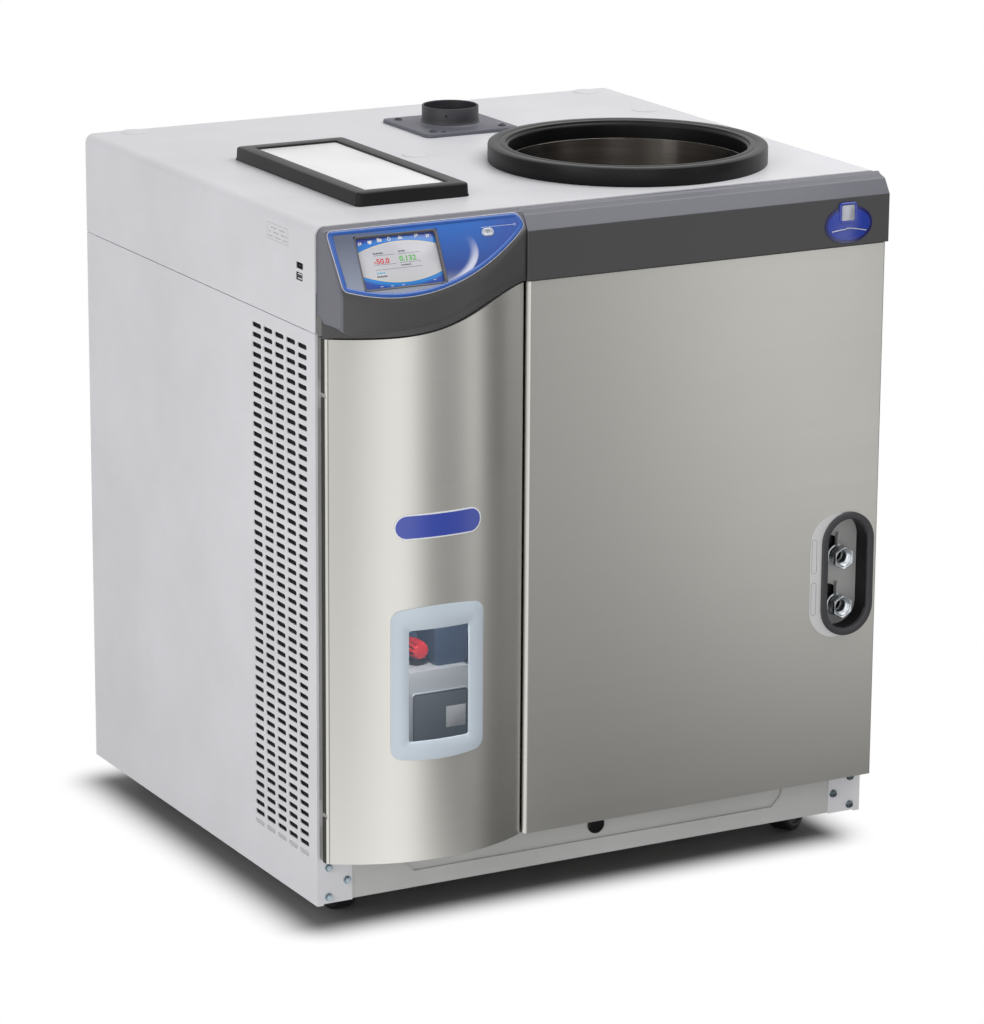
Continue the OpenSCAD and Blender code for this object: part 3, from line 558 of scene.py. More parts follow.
class Tree:
    """Short hand for a node tree."""

    def __init__(self, tree: bpy.types.NodeTree) -> None:
        """Wraps a material's, world's or group's tree."""
        self.tree = tree

    def node(self, kind: str, inputs: Optional[dict[Union[str, int], Value]] = None,
             **settings: object) -> bpy.types.Node:
        """Adds a node.

        Args:
            kind: Its type.
            inputs: Values or sockets for its inputs.
            **settings: Its options, set before the inputs.

        Returns:
            The node.
        """
        made = self.tree.nodes.new(kind)
        for key, value in settings.items():
            setattr(made, key, value)
        self.fill(made, inputs or {})
        return made

    def fill(self, node: bpy.types.Node, inputs: dict[Union[str, int], Value]) -> None:
        """Links or sets several inputs of a node."""
        for key, value in inputs.items():
            self.feed(node.inputs[key], value)

    def feed(self, socket: Socket, value: Value) -> None:
        """Links a socket to another, or sets its constant."""
        if isinstance(value, bpy.types.NodeSocket):
            self.tree.links.new(value, socket)
        else:
            socket.default_value = value

    def math(self, operation: str, *values: Value, clamp: bool = False) -> Socket:
        """One arithmetic step."""
        return self.node("ShaderNodeMath", dict(enumerate(values)), operation=operation,
                         use_clamp=clamp).outputs[0]

    def weighed(self, first: Socket, share: float, second: Socket, other: float) -> Socket:
        """Sum of two values, each times its own share."""
        return self.math("ADD", self.math("MULTIPLY", first, share),
                         self.math("MULTIPLY", second, other))

    def vector(self, operation: str, *values: Value, output: int = 0) -> Socket:
        """One step of vector arithmetic; output 1 is its single number."""
        return self.node("ShaderNodeVectorMath", dict(enumerate(values)),
                         operation=operation).outputs[output]

    def mix(self, share: Value, first: Value, second: Value) -> Socket:
        """Blends two colours."""
        return self.node("ShaderNodeMix", {0: share, 6: first, 7: second},
                         data_type="RGBA").outputs[2]

    def spread(self, value: Socket, low: float, high: float, start: float = 0.0,
               end: float = 1.0, kind: str = "LINEAR") -> Socket:
        """Maps start..end to low..high, straight or as an S-curve."""
        return self.node("ShaderNodeMapRange", {
            "Value": value, "From Min": start, "From Max": end, "To Min": low, "To Max": high},
            interpolation_type=kind).outputs["Result"]

    def noise(self, vector: Socket, scale: Value, detail: float = 2.0,
              rough: float = 0.5) -> Socket:
        """Smooth random value about one half."""
        return self.node("ShaderNodeTexNoise", {"Vector": vector, "Scale": scale,
                         "Detail": detail, "Roughness": rough}).outputs["Fac"]

    def where(self) -> Socket:
        """Object coordinates."""
        return self.node("ShaderNodeTexCoord").outputs["Object"]

    def across(self) -> list[Socket]:
        """The piece's own map.

        Returns:
            Sockets for the millimetres across and up.
        """
        uv = self.node("ShaderNodeUVMap", uv_map="across").outputs[0]
        cut = self.node("ShaderNodeSeparateXYZ", {0: uv})
        return [self.math("DIVIDE", cut.outputs[k], UV_SCALE) for k in (0, 1)]

    def effect(self, group: bpy.types.NodeTree, **values: Value) -> bpy.types.bpy_prop_collection:
        """Places a shared group on Object coordinates and returns its outputs."""
        return self.node("ShaderNodeGroup", {"Vector": self.where(), **values},
                         node_tree=group).outputs


def colour(red: float, green: float, blue: float) -> tuple[float, float, float, float]:
    """Linear colour of a display colour given from 0 to 1."""

    def lift(c: float) -> float:
        """Linear value of one display value."""
        return c / 12.92 if c <= 0.04045 else ((c + 0.055) / 1.055) ** 2.4

    return (lift(red), lift(green), lift(blue), 1.0)


def around(tint: Tint, less: float, more: float) -> list[tuple[float, ...]]:
    """Linear colours by a share under and over a display colour."""
    return [tuple(min(1.0, c * k) for c in colour(*tint)[:3]) + (1.0,)
            for k in (1 - less, 1 + more)]


def start_group(name: str, values: dict[str, float], outputs: Sequence[str]
                ) -> tuple[bpy.types.NodeTree, Tree, dict[str, Socket], dict[str, Socket]]:
    """Starts a node group with a Vector input and named number sockets.

    Args:
        name: Name of the group.
        values: Its number inputs and what they start at.
        outputs: Its number outputs.

    Returns:
        The group, its wrapped tree, its input sockets and its output sockets.
    """
    made = bpy.data.node_groups.new(name, "ShaderNodeTree")
    made.interface.new_socket("Vector", in_out="INPUT", socket_type="NodeSocketVector")
    for label, value in values.items():
        made.interface.new_socket(label, in_out="INPUT",
                                  socket_type="NodeSocketFloat").default_value = value
    for label in outputs:
        made.interface.new_socket(label, in_out="OUTPUT", socket_type="NodeSocketFloat")
    start, end = made.nodes.new("NodeGroupInput"), made.nodes.new("NodeGroupOutput")
    return (made, Tree(made), {s.name: s for s in start.outputs}, {s.name: s for s in end.inputs})


class Effects:
    """Node groups shared by the finishes."""

    def __init__(self) -> None:
        """Builds each group once."""
        self.grain = self._grain()
        self.peel = self._peel()
        self.soil = self._soil()

    @staticmethod
    def _grain() -> bpy.types.NodeTree:
        """Brushing: two noises drawn out along every level direction.

        Returns:
            The group, with the outputs Streak and Speck.
        """
        made, t, given, out = start_group("brushed grain", {"Fineness": 900.0, "Draw": 0.02},
                                          ["Streak", "Speck"])
        stretch = t.node("ShaderNodeCombineXYZ", {"X": given["Draw"], "Y": given["Draw"],
                                                  "Z": 1.0})
        drawn = t.vector("MULTIPLY", given["Vector"], stretch.outputs[0])
        fine = t.noise(drawn, given["Fineness"], 3.0, 0.6)
        coarse = t.noise(drawn, t.math("MULTIPLY", given["Fineness"], 0.12))
        t.feed(out["Streak"], t.spread(t.weighed(fine, 0.65, coarse, 0.35), 0.0, 1.0, 0.3, 0.7))
        t.feed(out["Speck"], t.noise(given["Vector"], 650.0))
        return made

    @staticmethod
    def _peel() -> bpy.types.NodeTree:
        """Orange peel of a powder coat, and the fine texture of a moulding.

        Returns:
            The group, with the output Height.
        """
        made, t, given, out = start_group("surface texture", {"Size": 700.0, "Grit": 0.3},
                                          ["Height"])
        wave = t.noise(given["Vector"], given["Size"], 1.0)
        grit = t.noise(given["Vector"], t.math("MULTIPLY", given["Size"], 4.0))
        t.feed(out["Height"], t.math("ADD", wave, t.math("MULTIPLY", grit, given["Grit"])))
        return made

    @staticmethod
    def _soil() -> bpy.types.NodeTree:
        """Slow unevenness of colour and sheen from handling and dust.

        Returns:
            The group, with the outputs Shade and Dust.
        """
        made, t, given, out = start_group("handling and dust", {"Scale": 5.0}, ["Shade", "Dust"])
        slow = t.noise(given["Vector"], given["Scale"], 4.0, 0.6)
        fleck = t.noise(given["Vector"], 420.0, 2.0, 0.7)
        t.feed(out["Shade"], slow)
        t.feed(out["Dust"], t.math("MULTIPLY", t.spread(fleck, 0.0, 1.0, 0.66, 0.74), slow))
        return made


class Texture(Enum):
    """Relief of a painted or moulded surface: size, grit and height in mm."""

    SMOOTH = (500.0, 0.1, 0.004)
    PEEL = (420.0, 0.15, 0.020)
    MOULDED = (1400.0, 0.6, 0.030)
    CAST = (500.0, 0.9, 0.090)
    RUBBER = (900.0, 0.8, 0.035)


class Lay(Enum):
    """What draws out the gloss of a metal: nothing, its map or its axis."""

    EVEN = "even"
    MAPPED = "mapped"
    TURNED = "turned"


def start_material(name: str) -> tuple[Material, Tree, bpy.types.Node]:
    """Makes a node material.

    Args:
        name: Its name.

    Returns:
        The material, its wrapped tree and its shader.
    """
    material = bpy.data.materials.new(name)
    material.use_nodes = True
    return material, Tree(material.node_tree), material.node_tree.nodes["Principled BSDF"]


@dataclass(frozen=True)
class Coat:
    """A painted, moulded or rubber surface."""

    tint: Tint
    rough: float
    texture: Texture = Texture.SMOOTH
    dust: float = 0.0
    coat: float = 0.0
    metallic: float = 0.0
    gloss: float = 0.5

    def make(self, name: str, effects: Effects) -> Material:
        """Builds the material on Object coordinates.

        Args:
            name: Name of the material.
            effects: The shared groups.

        Returns:
            The material.
        """
        material, t, shader = start_material(name)
        size, grit, height = self.texture.value
        soil = t.effect(effects.soil)
        peel = t.effect(effects.peel, Size=size, Grit=grit)
        tone = t.mix(t.spread(soil["Shade"], 0.0, 1.0, 0.3, 0.7), *around(self.tint, 0.06, 0.05))
        if self.dust:
            tone = t.mix(t.math("MULTIPLY", soil["Dust"], self.dust), tone,
                         colour(0.55, 0.54, 0.53))
        rough = t.spread(soil["Shade"], self.rough * 0.88, min(1.0, self.rough * 1.12), 0.3, 0.7)
        bump = t.node("ShaderNodeBump", {"Height": peel["Height"], "Strength": 0.55,
                      "Distance": height * MM})
        t.fill(shader, {
            "Base Color": tone, "Roughness": rough, "Metallic": self.metallic,
            "Coat Weight": self.coat, "Coat Roughness": 0.12, "Specular IOR Level": self.gloss,
            "Normal": bump.outputs[0]})
        return material


@dataclass(frozen=True)
class Brushed:
    """Metal with a fine drawn grain."""

    tint: Tint
    rough: float = 0.34
    drawn: float = 0.6
    fineness: float = 900.0
    contrast: float = 0.05
    lay: Lay = Lay.EVEN

    def make(self, name: str, effects: Effects) -> Material:
        """Builds the material; the grain runs level round the piece.

        Args:
            name: Name of the material.
            effects: The shared groups.

        Returns:
            The material.
        """
        material, t, shader = start_material(name)
        grain = t.effect(effects.grain, Fineness=self.fineness)
        soil = t.effect(effects.soil)
        tone = t.weighed(grain["Streak"], 0.6, grain["Speck"], 0.4)
        sheen = t.weighed(grain["Streak"], 0.06, soil["Shade"], 0.06)
        bump = t.node("ShaderNodeBump", {"Height": grain["Streak"], "Strength": 0.25,
                      "Distance": 0.004 * MM})
        t.fill(shader, {
            "Base Color": t.mix(tone, *around(self.tint, self.contrast, self.contrast)),
            "Roughness": t.math("ADD", sheen, self.rough - 0.06), "Metallic": 1.0,
            "Normal": bump.outputs[0]})
        if self.lay is not Lay.EVEN:
            t.fill(shader, {"Anisotropic": self.drawn, "Anisotropic Rotation": 0.25})
        if self.lay is Lay.MAPPED:
            tangent = t.node("ShaderNodeTangent", direction_type="UV_MAP", uv_map="across")
            t.feed(shader.inputs["Tangent"], tangent.outputs[0])
        return material


@dataclass(frozen=True)
class Clear:
    """Clear window plastic, thin enough to read as a tint and a gloss."""

    tint: Tint
    alpha: float

    def make(self, name: str, effects: Effects) -> Material:
        """Builds the material with a plain transparency.

        Args:
            name: Name of the material.
            effects: The shared groups, which it doesn't need.

        Returns:
            The material.
        """
        material, t, shader = start_material(name)
        haze = t.noise(t.where(), 9.0, 3.0)
        tone = t.mix(haze, colour(*self.tint), colour(*(c * 0.93 for c in self.tint)))
        t.fill(shader, {"Base Color": tone, "Roughness": t.spread(haze, 0.04, 0.09),
                        "Alpha": self.alpha})
        return material


@dataclass(frozen=True)
class Overlay:
    """Printed overlay: silver field, pale swoosh and deepening blue.

    Works in the piece's own map, in millimetres across and up the face.
    """

    outer: tuple[float, float, float, float] = (94.0, -38.0, 109.0, 52.0)
    inner: tuple[float, float, float, float] = (92.0, -36.0, 105.0, 50.0)

    def make(self, name: str, effects: Effects) -> Material:
        """Builds the printed colours from two ellipses round the screen.

        Args:
            name: Name of the material.
            effects: The shared groups, which it doesn't need.

        Returns:
            The material.
        """
        material, t, shader = start_material(name)
        u, v = t.across()

        def ring(cx: float, cy: float, a: float, b: float) -> Socket:
            """Distance sqrt(((u - cx) / a)^2 + ((v - cy) / b)^2).

            Args:
                cx, cy: Centre of the ellipse.
                a, b: Its half axes.

            Returns:
                A socket that is 1 on the ellipse.
            """
            dx = t.math("DIVIDE", t.math("SUBTRACT", u, cx), a)
            dy = t.math("DIVIDE", t.math("SUBTRACT", v, cy), b)
            return t.math("SQRT", t.math("ADD", t.math("MULTIPLY", dx, dx),
                                         t.math("MULTIPLY", dy, dy)))

        # blue field: royal blue at the top, deep at the foot and the right
        blue = t.mix(t.spread(v, 1.0, 0.0, -88.0, -8.0), colour(0.05, 0.40, 0.77),
                     colour(0.10, 0.12, 0.46))
        blue = t.mix(t.spread(u, 0.0, 0.55, 195.0, 262.0, "SMOOTHSTEP"), blue,
                     colour(0.11, 0.19, 0.58))
        # silver field inside the swoosh, from the left and the foot
        left = t.spread(u, 1.0, 0.0, 28.0, 120.0, "SMOOTHSTEP")
        foot = t.spread(v, 1.0, 0.0, -82.0, -58.0, "SMOOTHSTEP")
        silver = t.mix(t.spread(v, 0.0, 1.0, -84.0, -12.0), colour(0.62, 0.65, 0.72),
                       colour(0.38, 0.41, 0.49))
        inside = t.spread(ring(*self.outer), 1.0, 0.0, 0.985, 1.005)
        share = t.math("MULTIPLY", t.math("MAXIMUM", left, foot, clamp=True), inside)
        share = t.math("MULTIPLY", share, t.spread(u, 1.0, 0.0, 150.0, 196.0, "SMOOTHSTEP"))
        tone = t.mix(share, blue, silver)
        # the pale edge of the swoosh, bright at its lower right
        edge = t.math("MULTIPLY", inside,
                      t.spread(ring(*self.inner), 0.0, 1.0, 0.93, 1.02, "SMOOTHSTEP"))
        glow = t.math("MULTIPLY", t.spread(v, 0.0, 1.0, -18.0, -58.0, "SMOOTHSTEP"),
                      t.spread(u, 0.0, 1.0, 70.0, 185.0, "SMOOTHSTEP"))
        tone = t.mix(t.math("MULTIPLY", edge, glow), tone, colour(0.86, 0.87, 0.95))
        # the left end is plain bright blue, as the raised rim is
        tone = t.mix(t.spread(u, 0.0, 1.0, 13.5, 15.0), colour(0.13, 0.36, 0.72), tone)
        t.fill(shader, {"Base Color": tone, "Coat Weight": 0.5, "Coat Roughness": 0.15,
                        "Roughness": t.spread(t.noise(t.where(), 900.0), 0.2, 0.3)})
        return material


@dataclass(frozen=True)
class ScreenFace:
    """Lit touch screen: pale field between two curved blue bands."""

    middle: float = 100.5
    half: float = 52.0
    lit: float = 0.16

    def make(self, name: str, effects: Effects) -> Material:
        """Builds the picture from parabolas across the screen.

        Args:
            name: Name of the material.
            effects: The shared groups, which it doesn't need.

        Returns:
            The material.
        """
        material, t, shader = start_material(name)
        u, v = t.across()
        x = t.math("DIVIDE", t.math("SUBTRACT", u, self.middle), self.half)
        bow = t.math("MULTIPLY", x, x)
        tone = t.mix(t.spread(v, 0.0, 1.0, -72.0, -14.0), colour(0.79, 0.79, 0.80),
                     colour(0.74, 0.74, 0.77))
        top = t.math("SUBTRACT", v, t.math("SUBTRACT", -18.0, t.math("MULTIPLY", bow, 8.5)))
        deep = t.math("ADD", top, t.math("MULTIPLY", bow, -3.0))
        low = t.math("SUBTRACT", t.math("ADD", -69.0, t.math("MULTIPLY", bow, 10.0)), v)
        for past, start, end, tint in (
                (top, -1.0, -0.4, (0.88, 0.82, 0.66)), (top, 0.0, 0.5, (0.16, 0.47, 0.80)),
                (deep, 3.6, 7.6, (0.15, 0.24, 0.60)), (low, -1.0, -0.4, (0.88, 0.82, 0.66)),
                (low, 0.0, 0.4, (0.18, 0.52, 0.83)), (low, 3.0, 7.0, (0.16, 0.30, 0.66))):
            tone = t.mix(t.spread(past, 0.0, 1.0, start, end), tone, colour(*tint))
        t.fill(shader, {"Base Color": tone, "Emission Color": tone, "Emission Strength": self.lit,
                        "Roughness": t.spread(t.noise(t.where(), 500.0), 0.12, 0.2)})
        return material


class Finishes:
    """Every material of the object, made once and named for its use."""

    def __init__(self) -> None:
        """Builds the groups and then the finishes."""
        fx = Effects()
        table = {
            "white_coat": Coat((0.885, 0.885, 0.90), 0.42, Texture.PEEL, gloss=0.18),
            "grey_coat": Coat((0.775, 0.775, 0.77), 0.45, Texture.PEEL, gloss=0.25),
            "stainless": Brushed((0.72, 0.715, 0.70), 0.37, 0.8, contrast=0.02, lay=Lay.MAPPED),
            # stainless painted much darker than the door's: painted shade inside the deep
            # collector
            "painted_shade_chamber_steel": Brushed((0.50, 0.48, 0.46), 0.22, 0.95, 600.0, lay=Lay.TURNED),
            "screw_steel": Brushed((0.52, 0.57, 0.60), 0.35, fineness=500.0),
            # darker copy of the stainless: painted shade for the deep left return of the door and
            # the pins in its notches
            "painted_shade_steel": Brushed((0.26, 0.26, 0.245), 0.45, fineness=600.0),
            "bright_steel": Brushed((0.82, 0.84, 0.86), 0.28, fineness=500.0, contrast=0.03),
            "dark_plastic": Coat((0.235, 0.235, 0.24), 0.45, Texture.MOULDED, coat=0.15),
            # lighter copy of the dark plastic: painted light on the pod's faces that look up and
            # to the left
            "painted_light_plastic": Coat((0.38, 0.38, 0.42), 0.42, Texture.MOULDED, coat=0.25),
            "spigot_plastic": Coat((0.15, 0.15, 0.175), 0.5, Texture.MOULDED, dust=0.25),
            "flange_plastic": Coat((0.36, 0.36, 0.40), 0.5, Texture.MOULDED, dust=0.3),
            "trim_plastic": Coat((0.22, 0.22, 0.235), 0.5, Texture.MOULDED),
            "black_plastic": Coat((0.045, 0.045, 0.05), 0.4, Texture.MOULDED, gloss=0.3),
            "rubber": Coat((0.02, 0.02, 0.026), 0.4, Texture.RUBBER, dust=0.18, gloss=0.22),
            "hose_rubber": Coat((0.10, 0.10, 0.11), 0.5, Texture.RUBBER, dust=0.3),
            "tyre": Coat((0.09, 0.09, 0.095), 0.55, Texture.RUBBER, dust=0.8),
            "white_plate": Coat((0.975, 0.975, 0.975), 0.35),
            "overlay": Overlay(),
            "screen": ScreenFace(),
            "screen_black": Coat((0.10, 0.10, 0.11), 0.25),
            "bezel": Coat((0.33, 0.32, 0.33), 0.35, coat=0.3),
            "rim_blue": Coat((0.02, 0.34, 0.70), 0.25, coat=0.5),
            "silver_plastic": Coat((0.74, 0.75, 0.79), 0.3, metallic=0.5),
            "badge_blue": Coat((0.11, 0.23, 0.66), 0.25, coat=0.5),
            "badge_deep": Coat((0.08, 0.10, 0.40), 0.22, coat=0.6),
            "badge_white": Coat((0.93, 0.94, 0.96), 0.3),
            "frosted": Coat((0.79, 0.835, 0.875), 0.3, coat=0.3),
            "window": Clear((0.62, 0.70, 0.78), 0.10),
            "label": Coat((0.83, 0.83, 0.83), 0.4),
            "label_line": Coat((0.60, 0.60, 0.61), 0.4),
            "plate_grey": Coat((0.36, 0.37, 0.38), 0.35),
            "foam": Coat((0.88, 0.83, 0.66), 0.85, Texture.CAST),
            "fins": Coat((0.78, 0.77, 0.75), 0.4, metallic=0.8),
            "motor_blue": Coat((0.22, 0.27, 0.36), 0.4, Texture.CAST, coat=0.2),
            "black_paint": Coat((0.12, 0.12, 0.125), 0.4, Texture.PEEL),
            "pump_grey": Coat((0.74, 0.75, 0.77), 0.45, Texture.CAST),
            "red_knob": Coat((0.78, 0.10, 0.14), 0.3, coat=0.3),
            "filter_black": Coat((0.05, 0.05, 0.05), 0.95, Texture.CAST),
            "ink_red": Coat((0.85, 0.16, 0.12), 0.4),
            "ink_green": Coat((0.30, 0.74, 0.22), 0.4),
            "ink_grey": Coat((0.45, 0.46, 0.50), 0.4),
            "ink_dark": Coat((0.22, 0.22, 0.30), 0.4),
            "ink_blue": Coat((0.25, 0.70, 0.85), 0.4),
            "ink_note": Coat((0.66, 0.66, 0.68), 0.4),
            "ink_white": Coat((0.92, 0.93, 0.95), 0.35),
        }
        self._made = {name: finish.make(name, fx) for name, finish in table.items()}

    def __getitem__(self, name: str) -> bpy.types.Material:
        """Returns a finish by name."""
        return self._made[name]

    def dress(self, nodes: dict[str, str]) -> None:
        """Gives CAD nodes that stay in view their material.

        Args:
            nodes: Name of the finish of each node.
        """
        for node, finish in nodes.items():
            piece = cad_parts[node]
            piece.data.materials.clear()
            piece.data.materials.append(self[finish])
            LOG.info("%s dressed in %s", node, finish)


# ---- sub-assemblies ----


@dataclass
class Part:
    """Something that is built with the finishes and hangs on one body."""

    finishes: Finishes
    body: str = "cabinet"

    def make(self, shell: Shell, name: str, finish: str, slot: str, replaces: Sequence[str] = (),
             body: str = "", others: Sequence[str] = (), **how: Union[float, bool]) -> None:
        """Builds a shell in a named finish.

        Args:
            shell: The shell.
            name: Piece name.
            finish: Name of the finish.
            slot: Material slot of the record.
            replaces: CAD nodes that it stands for.
            body: CAD body that carries it, if it isn't the part's own.
            others: Finishes of the faces with tone 1 and up.
            **how: Further settings of Shell.build.
        """
        shell.build(name, self.finishes[finish], body or self.body, slot, replaces,
                    others=[self.finishes[other] for other in others], **how)


# Lower edge of the pod, its tilted face, and its bow and the door's
POD_END = 274.5
ARCH_FROM = 30.0
ARCH_LOW, ARCH_RISE = 729.0, 46.0
CORNER = 12.0
FACE_RISE = 1.9
FACE = Slope(-18.0, TOP - 5.0, math.atan(FACE_RISE))
POD = Bow(95.2, 425.5, 488.0)
DOOR = Bow(147.4, 186.8, 246.0)
BADGE_WALL = Wall(-31.0)
SCREEN_INK = -3.1
# Turn of the unions' hexagons, as a matrix for points in rows
TURN = np.array([[math.cos(0.52), math.sin(0.52)], [-math.sin(0.52), math.cos(0.52)]])


def arch(x: Array) -> Array:
    """Lower edge of the pod: level, then a raised-cosine climb in x."""
    share = np.clip((x - ARCH_FROM) / (POD_END - ARCH_FROM), 0, 1) ** 1.7
    return ARCH_LOW + ARCH_RISE * (1 - np.cos(np.pi * share)) / 2


def round_corner(x: Array, end: float) -> Array:
    """Height r - sqrt(r^2 - (end - x)^2) of a round corner left of its end."""
    drop = np.sqrt(np.clip(CORNER ** 2 - (end - x) ** 2, 0, None))
    return np.where(x < end, CORNER - drop, 0)


def band_edge(x: Array) -> Array:
    """Lower edge of the pod's band, with a round corner at its left end."""
    return arch(x) + 10 * (1 - (np.clip(x, 0, None) / POD_END) ** 4) + round_corner(x, 21)


@dataclass
class Cabinet(Part):
    """Panels, cover, foot rail and their small parts."""

    depth: float = 681.5
    filter_at: float = 3.6
    filter_wall: float = 1.6
    filter_sides: tuple = (30, 194, 52, 722)
    screws: tuple = ((15.7, 49.0), (41.5, 29.0), (15.7, 10.3))

    def build(self) -> None:
        """Dresses the sheet metal and adds filters, plugs and screws."""
        self.finishes.dress({
            "chassis": "grey_coat", "left_side_panel": "white_coat",
            "right_side_panel": "white_coat", "rear_panel": "white_coat",
            "top_cover": "white_coat"})
        self._filters()
        self._plugs()
        self._screws()
        self._sockets()
        self._inlet()

    def _filters(self) -> None:
        """Black dust filters behind the slots of both sides."""
        shell = Shell()
        for x in (self.filter_at, WIDTH - self.filter_at - self.filter_wall):
            shell.block(x, x + self.filter_wall, *self.filter_sides)
        self.make(shell, "vent_filters", "filter_black", "black_plastic")

    def _plugs(self) -> None:
        """Domed caps in the cover's spare holes, and one in the toe recess."""
        rear = self.depth - 15.5
        shell = Shell()
        for x, y in ((63, rear), (321, 354), (WIDTH - 50, rear), (WIDTH - 48, 506)):
            shell.turned([(0, -1.4), (15, -1.4), (15, 0.1), (17.5, 0.1), (17.4, 0.5), (16, 1.1),
                          (12, 1.6), (6, 1.95), (0, 2.05)], place=Spindle((x, y, TOP)), count=48)
        self.make(shell, "cover_plugs", "white_coat", "white_coat", ["hole_plugs"], smooth=50)
        shell = Shell(Spindle((WIDTH / 2, 4.0, 43.0), (0, -1, 0)))
        shell.turned([(0, -4.6), (8.8, -4.6), (8.8, 0), (12, 0), (12, 1.5), (10.6, 3.0), (6, 3.5),
                      (0, 3.5)], count=40)
        self.make(shell, "rail_plug", "black_plastic", "black_plastic", ["toe_plug"])

    def _screws(self) -> None:
        """Hexagon flange screws with a washer face and a crowned head."""
        shell = Shell()
        for side in (0, 1):
            for x, z in self.screws:
                place = Spindle((side * WIDTH + (1 - 2 * side) * x, 0.0, z), (0, -1, 0))
                shell.turned([(0, 0), (5.4, 0), (5.4, 0.5), (4.9, 0.95), (0, 0.95)], count=32,
                             place=place)
                shell.swept(partial(circle, count=6),
                            [(4.4, 0.9), (4.4, 3.2), (4.0, 3.8), (2.6, 4.0)], place=place)
        self.make(shell, "tab_screws", "screw_steel", "bright_steel", ["panel_screws"])
        rear = Shell()
        for x in (38, WIDTH / 2, WIDTH - 38):
            for z in (18, 372, 716):
                rear.turned([(0, -0.2), (6.5, -0.2), (6.5, 0.1), (6.1, 0.9), (4.6, 2.0),
                             (2.9, 2.5), (2.2, 2.5), (1.9, 1.5), (0, 1.5)], count=32,
                            place=Spindle((x, self.depth + 0.5, z), (0, 1, 0)))
        self.make(rear, "rear_screws", "screw_steel", "bright_steel", smooth=35)

    def _sockets(self) -> None:
        """Two sockets in the left skirt: a stacked pair and a square one."""
        self.finishes.dress({"usb_sockets": "black_plastic"})
        shell = Shell()
        for z in (791.2, 796.6):
            shell.block(0.6, 9.0, 36.0, 47.0, z, z + 1.1)
        shell.block(0.6, 9.0, 38.6, 42.9, 807.2, 808.8)
        self.make(shell, "socket_tongues", "badge_white", "black_plastic")
        note = Shell()
        for sides in ((72, 130, 846, 846.5), (72, 130, 826, 826.5), (72, 72.5, 826, 846.5),
                      (129.5, 130, 826, 846.5)):
            note.block(-0.12, 0.3, *sides)
        for row, z in enumerate((840.5, 835.0, 829.5)):
            for k in range(9):
                start = 76 + 5.6 * k
                if (k + row) % 4:
                    note.block(-0.12, 0.3, start, start + 3.4 + (k % 3) * 0.5, z, z + 1.5)
        self.make(note, "skirt_note", "ink_note", "label")

    def _inlet(self) -> None:
        """Mains inlet: the imported inlet in black plastic and three blades in its recess."""
        self.finishes.dress({"power_inlet": "black_plastic"})
        shell = Shell()
        for x, z in ((105, 574), (115, 574), (110, 586)):
            shell.block(x - 1, x + 1, 660, 677, z - 2, z + 2)
        self.make(shell, "inlet_blades", "bright_steel", "bright_steel")


